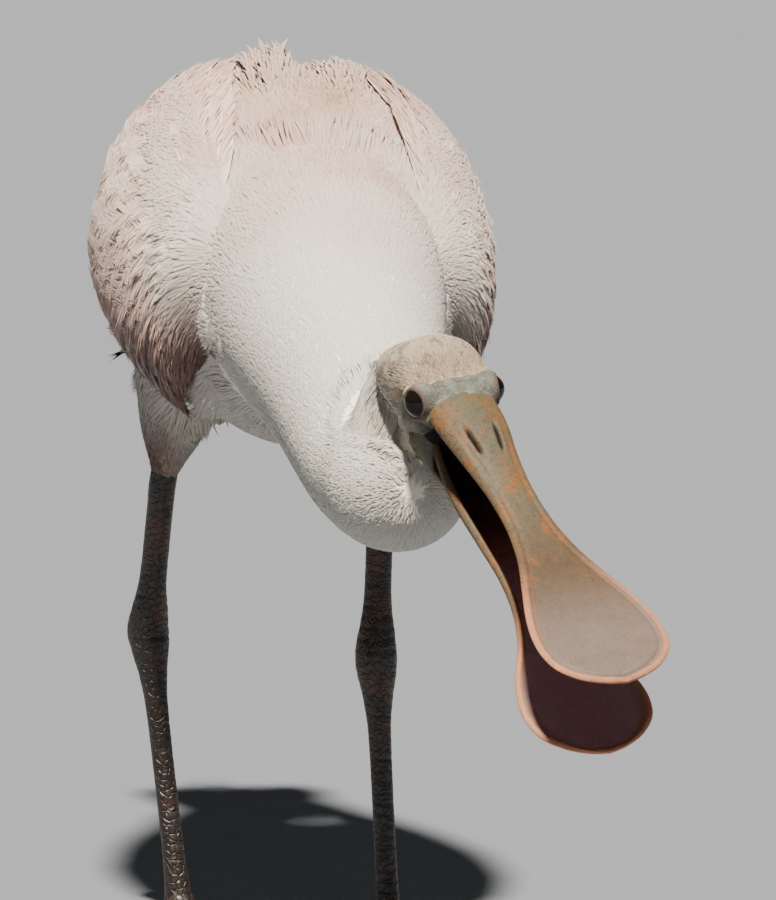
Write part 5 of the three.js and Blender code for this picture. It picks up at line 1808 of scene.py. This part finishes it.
def leg_table(leg):
    """Rows of the leg from the feathers down to the knuckle: centre, half width and half depth."""
    shin, ankle = np.array(leg["shin"], float), np.array(leg["ankle"], float)
    knuckle = np.array([*leg["foot"], 6.5])
    top = shin + (np.array(leg["thigh"], float) - shin) * 0.3
    down = unit(ankle - shin)
    fall = unit(knuckle - ankle)
    return [
        (*top, 5.0, 5.2),
        (*shin, 5.3, 5.4),
        (*(shin + down * 14), 5.1, 5.2),
        (*(ankle - down * 22), 5.3, 5.6),
        (*(ankle - down * 9), 6.9, 7.7),
        (*ankle, 8.0, 8.8),
        (*(ankle + fall * 7), 7.5, 8.0),
        (*(ankle + fall * 18), 5.5, 5.8),
        (*(ankle + fall * 34), 4.3, 4.5),
        (*(knuckle - fall * 30), 4.2, 4.3),
        (*(knuckle - fall * 11), 4.7, 4.8),
        (*knuckle, 5.6, 5.6),
    ]


def make_leg(side_name, material):
    """One leg with its toes: tubes melted together, with plates raised across the front of shank and toes."""
    leg = LEGS[side_name]
    knuckle = np.array([*leg["foot"], KNUCKLE_HEIGHT])
    parts = [tube(path_rings(leg_table(leg), 90, 40)), tube(ball(knuckle, (KNUCKLE_RADIUS,) * 3))]
    for toe in TOES:
        line = toe_line(leg, toe)
        parts.append(tube(path_rings(line, 60, 28)))
        parts.append(tube(ball(line[-1, :3], (line[-1, 3],) * 3, 12, 20)))
    mesh = melt(f"leg_{side_name}", parts, LEG_VOXEL, LEG_SMOOTHING)
    points, normals, _ = mesh_arrays(mesh)
    upright = smooth(10, 20, points[:, 2])
    front = smooth(-0.1, 0.5, -normals[:, 1]) * upright
    distance = np.linalg.norm((points - knuckle)[:, :2], axis=1)
    top = smooth(0.0, 0.5, normals[:, 2]) * (1 - upright)
    ring = np.where(upright > 0.5, points[:, 2] / 4.2, distance / 3.4)
    plate = np.abs(np.sin(ring * np.pi)) ** 0.4
    plate = (plate - 0.8) * (front * smooth(170, 120, points[:, 2]) + top)
    ankle = np.array(leg["ankle"], float)
    wrinkle = fine_noise(points * np.array([1, 1, 2.0]), 3.0, 21.0) * np.exp(
        -(np.linalg.norm(points - ankle, axis=1) / 14) ** 2)
    lift = 0.38 * plate + 0.35 * wrinkle + 0.10 * fine_noise(points, 2.0, 22.0)
    points = points + normals * lift[:, None]
    points[:, 2] = np.maximum(points[:, 2], 0.0)
    set_points(mesh, points)
    rust = smooth(20, 60, points[:, 2]) * (0.35 + 0.65 * smooth(70, 120, points[:, 2]))
    add_numbers(mesh, {"rust": rust})
    mesh.update()
    add_piece(f"leg_{side_name}", mesh, material,
              [f"{part}_{side_name}" for part in ("shin", "tarsus", "foot")])


def make_claws(side_name, material):
    """Claws of one foot: curved cones from the toes' ends to points near the floor."""
    leg = LEGS[side_name]
    share = np.linspace(0, 1, 16)
    parts = []
    for length, spread in TOES.values():
        radius = 1.9 * (1 - share) ** 0.8 + 0.22
        distance = MIDDLE_TOE * length + CLAW_GAP + CLAW_LENGTH * share
        height = radius + 0.4 + 0.9 * np.sin(np.pi * share)
        table = np.stack([*toe_places(leg, spread, distance), height, radius * 0.85, radius], axis=1)
        points, faces = tube(path_rings(table, 32, 20))
        parts.append((points, outward(points, faces)))
    mesh = new_mesh(f"claws_{side_name}", *join(parts))
    add_piece(f"claws_{side_name}", mesh, material, [f"claw_{side_name}_{toe}" for toe in TOES])


# Stage

FLOOR_REACH = 12.0
SKY_COLOUR = (0.82, 0.84, 0.88, 1.0)
# Lamps: name, way to the lamp, angle of its disc, colour
LAMPS = [
    ("key", (-0.08, -0.43, 0.895), 4.0, (1.0, 0.925, 0.80)),
    ("fill", (0.75, -0.62, 0.25), 60.0, (0.86, 0.93, 1.0)),
]


def make_stage(stage):
    """Pale floor, a high soft key light from the front, a weak fill, and the camera at the photo's angle."""
    corners = np.array([(-1, -1), (1, -1), (1, 1), (-1, 1)], float) * FLOOR_REACH
    mesh = bpy.data.meshes.new("floor")
    mesh.from_pydata([(x, y, 0.0) for x, y in corners], [], [(0, 1, 2, 3)])
    floor = bpy.data.objects.new("floor", mesh)
    bpy.context.scene.collection.objects.link(floor)
    shader = Shader("studio_floor")
    grain = shader.noise(60.0, 4.0)
    colour = shader.mix(grain, tuple(stage.floor), tuple(0.93 * value for value in stage.floor))
    mesh.materials.append(shader.finish(colour, grain * 0.2 + 0.6))

    target = Vector((CAMERA_TARGET + SHIFT) * MM)
    for name, way, angle, colour in LAMPS:
        light = bpy.data.lights.new(f"{name}_light", "SUN")
        light.energy = getattr(stage, name)
        light.angle = math.radians(angle)
        light.color = colour
        lamp = bpy.data.objects.new(f"{name}_light", light)
        lamp.rotation_euler = Vector(way).to_track_quat("Z", "Y").to_euler()
        lamp.location = target + Vector(way) * 3.0
        bpy.context.scene.collection.objects.link(lamp)

    world = bpy.data.worlds.new("studio")
    world.use_nodes = True
    background = next(node for node in world.node_tree.nodes if node.type == "BACKGROUND")
    background.inputs["Color"].default_value = SKY_COLOUR
    background.inputs["Strength"].default_value = stage.sky
    bpy.context.scene.world = world

    turn, rise = math.radians(CAMERA_TURN), math.radians(CAMERA_RISE)
    right = Vector((math.cos(turn), math.sin(turn), 0.0))
    back = Vector((math.sin(turn) * math.cos(rise), -math.cos(turn) * math.cos(rise), math.sin(rise)))
    up = back.cross(right)
    lens = bpy.data.cameras.new("photo_camera")
    lens.lens = CAMERA_LENS
    lens.sensor_width = SENSOR
    lens.sensor_fit = "VERTICAL"
    lens.sensor_height = SENSOR
    lens.clip_end = 100.0
    camera = bpy.data.objects.new("photo_camera", lens)
    place = Matrix((right, up, back)).transposed().to_4x4()
    place.translation = target + back * (CAMERA_DISTANCE * MM)
    camera.matrix_world = place
    bpy.context.scene.collection.objects.link(camera)
    bpy.context.scene.camera = camera


# Add-on

def colour_property(name, description, value):
    """Colour that a user may change."""
    return bpy.props.FloatVectorProperty(name=name, description=description, default=value, subtype="COLOR",
                                         size=3, min=0.0, max=1.0)


class SpoonbillColours(bpy.types.PropertyGroup):
    """Colours of the plumage, bill, face, eyes and legs."""

    white: colour_property("White", "Feathers of the breast and neck", (0.86, 0.82, 0.72))
    pink: colour_property("Pink", "Pink of the back and wings", (0.66, 0.36, 0.305))
    buff: colour_property("Buff", "Feathers of the crown", (0.43, 0.31, 0.19))
    ochre: colour_property("Ochre", "Stains on the back", (0.42, 0.27, 0.14))
    # Dark tone of the wing's low feathers and the head's streaks, also the colour of painted shade low on the
    # body and the wing
    dusk: colour_property("Dusk", "Dark low feathers of the wing", (0.135, 0.05, 0.036))
    heart: colour_property("Feather heart", "Middle of the large feathers", (0.50, 0.30, 0.25))
    shaft: colour_property("Shaft", "Shafts of the large feathers", (0.34, 0.20, 0.16))
    bill_base: colour_property("Bill base", "Greenish grey horn", (0.072, 0.067, 0.043))
    bill_middle: colour_property("Bill middle", "Tan horn", (0.060, 0.040, 0.024))
    spoon: colour_property("Spoon", "Pinkish grey of the spoon", (0.112, 0.084, 0.072))
    bill_stain: colour_property("Bill stain", "Ochre stain of bill and face", (0.09, 0.042, 0.014))
    bill_orange: colour_property("Bill orange", "Orange patches of the bill", (0.17, 0.058, 0.012))
    rim: colour_property("Rim", "Peach rim of the spoon", (0.42, 0.175, 0.095))
    dirt: colour_property("Specks", "Dark specks of the horn", (0.045, 0.030, 0.020))
    inside: colour_property("Inside", "Mauve inside of the bill", (0.17, 0.105, 0.13))
    # Near black painted shade of the mouth, its lining and the nostrils
    mouth_shade: colour_property("Mouth", "Mouth and nostrils", (0.010, 0.006, 0.007))
    face: colour_property("Face", "Blue grey bare skin", (0.085, 0.09, 0.074))
    face_pale: colour_property("Pale face", "Paler bare skin", (0.150, 0.150, 0.125))
    # Painted shade of the creases at the bare face's edge and between the jaw's grains
    crease: colour_property("Crease", "Dark edge of the bare face", (0.08, 0.065, 0.05))
    lid: colour_property("Lid", "Rim of the eye", (0.085, 0.05, 0.042))
    pupil: colour_property("Pupil", "Pupil of the eye", (0.004, 0.004, 0.004))
    iris: colour_property("Iris", "Iris of the eye", (0.008, 0.004, 0.003))
    iris_deep: colour_property("Deep iris", "Dark streaks of the iris", (0.006, 0.003, 0.003))
    leg: colour_property("Leg", "Dark scales of the legs", (0.012, 0.007, 0.005))
    leg_rust: colour_property("Leg rust", "Rusty patches of the legs", (0.055, 0.016, 0.006))
    leg_seam: colour_property("Leg seam", "Seams between the scales", (0.028, 0.016, 0.011))
    claw: colour_property("Claw", "Horn of the claws", (0.030, 0.025, 0.022))


def spacing_property(name, value):
    """Distance between neighbouring tufts, in millimetres."""
    return bpy.props.FloatProperty(name=name, description="Distance between tufts in millimetres",
                                   default=value, min=0.4, max=5.0)


class SpoonbillCoat(bpy.types.PropertyGroup):
    """Density of the small feathers."""

    head_spacing: spacing_property("Head", 0.55)
    neck_top_spacing: spacing_property("Upper neck", 0.72)
    neck_spacing: spacing_property("Neck", 0.98)
    trunk_spacing: spacing_property("Trunk", 1.2)
    thigh_spacing: spacing_property("Thighs", 1.15)


def strength_property(name, description, value):
    """Strength of a light."""
    return bpy.props.FloatProperty(name=name, description=description, default=value, min=0.0)


class SpoonbillStage(bpy.types.PropertyGroup):
    """Floor and lights."""

    floor: colour_property("Floor", "Studio floor", (0.15, 0.165, 0.19))
    key: strength_property("Key light", "Strength of the key light", 14.5)
    fill: strength_property("Fill light", "Strength of the fill light", 0.08)
    sky: strength_property("Sky", "Strength of the surrounding light", 0.11)


class SPOONBILL_OT_skin(bpy.types.Operator):
    """Makes the skin under the plumage"""

    bl_idname = "spoonbill.skin"
    bl_label = "Skin"

    def execute(self, context):
        make_skin(context.scene.spoonbill_colours)
        return {"FINISHED"}


class SPOONBILL_OT_coat(bpy.types.Operator):
    """Covers the skin with small feathers"""

    bl_idname = "spoonbill.coat"
    bl_label = "Small feathers"

    def execute(self, context):
        make_coat(context.scene.spoonbill_colours, context.scene.spoonbill_coat)
        return {"FINISHED"}


class SPOONBILL_OT_wings(bpy.types.Operator):
    """Lays the feathers of both folded wings"""

    bl_idname = "spoonbill.wings"
    bl_label = "Wings"

    def execute(self, context):
        make_wings(context.scene.spoonbill_colours)
        return {"FINISHED"}


class SPOONBILL_OT_tail(bpy.types.Operator):
    """Lays the feathers of the tail"""

    bl_idname = "spoonbill.tail"
    bl_label = "Tail"

    def execute(self, context):
        make_tail(context.scene.spoonbill_colours)
        return {"FINISHED"}


class SPOONBILL_OT_face(bpy.types.Operator):
    """Makes the bare face, the mouth's lining and the eyes"""

    bl_idname = "spoonbill.face"
    bl_label = "Face and eyes"

    def execute(self, context):
        make_face(context.scene.spoonbill_colours)
        make_mouth(context.scene.spoonbill_colours)
        make_eyes(context.scene.spoonbill_colours)
        return {"FINISHED"}


class SPOONBILL_OT_bill(bpy.types.Operator):
    """Makes both halves of the bill"""

    bl_idname = "spoonbill.bill"
    bl_label = "Bill"

    def execute(self, context):
        material = bill_material(context.scene.spoonbill_colours)
        make_upper_bill(material)
        make_lower_bill(material)
        return {"FINISHED"}


class SPOONBILL_OT_legs(bpy.types.Operator):
    """Makes the scaled legs and the claws"""

    bl_idname = "spoonbill.legs"
    bl_label = "Legs and claws"

    def execute(self, context):
        skin = leg_material(context.scene.spoonbill_colours)
        horn = claw_material(context.scene.spoonbill_colours)
        for side_name in SIDES:
            make_leg(side_name, skin)
            make_claws(side_name, horn)
        return {"FINISHED"}


class SPOONBILL_OT_stage(bpy.types.Operator):
    """Makes the floor, the lights and the camera"""

    bl_idname = "spoonbill.stage"
    bl_label = "Stage"

    def execute(self, context):
        make_stage(context.scene.spoonbill_stage)
        return {"FINISHED"}


OPERATORS = [SPOONBILL_OT_skin, SPOONBILL_OT_coat, SPOONBILL_OT_wings, SPOONBILL_OT_tail, SPOONBILL_OT_face,
             SPOONBILL_OT_bill, SPOONBILL_OT_legs, SPOONBILL_OT_stage]


class SPOONBILL_PT_panel(bpy.types.Panel):
    """Sidebar panel with the colours, sizes and steps"""

    bl_idname = "SPOONBILL_PT_panel"
    bl_label = "Roseate Spoonbill"
    bl_space_type = "VIEW_3D"
    bl_region_type = "UI"
    bl_category = "Spoonbill"

    def draw(self, context):
        for group in (getattr(context.scene, name) for name in GROUPS):
            for key in group.bl_rna.properties.keys():
                if key not in ("rna_type", "name"):
                    self.layout.prop(group, key)
        for operator in OPERATORS:
            self.layout.operator(operator.bl_idname)


GROUPS = {
    "spoonbill_colours": SpoonbillColours,
    "spoonbill_coat": SpoonbillCoat,
    "spoonbill_stage": SpoonbillStage,
}


def register():
    """Registers the classes and puts the property groups on the scene."""
    for group in (*GROUPS.values(), *OPERATORS, SPOONBILL_PT_panel):
        bpy.utils.register_class(group)
    for name, group in GROUPS.items():
        setattr(bpy.types.Scene, name, bpy.props.PointerProperty(type=group))


def unregister():
    """Removes what register added."""
    for name in GROUPS:
        delattr(bpy.types.Scene, name)
    for group in (SPOONBILL_PT_panel, *reversed(OPERATORS), *reversed(GROUPS.values())):
        bpy.utils.unregister_class(group)


def main():
    """Builds the bird and the stage."""
    register()
    bpy.ops.spoonbill.skin()
    bpy.ops.spoonbill.coat()
    bpy.ops.spoonbill.wings()
    bpy.ops.spoonbill.tail()
    bpy.ops.spoonbill.face()
    bpy.ops.spoonbill.bill()
    bpy.ops.spoonbill.legs()
    bpy.ops.spoonbill.stage()


if __name__ == "__main__":
    main()
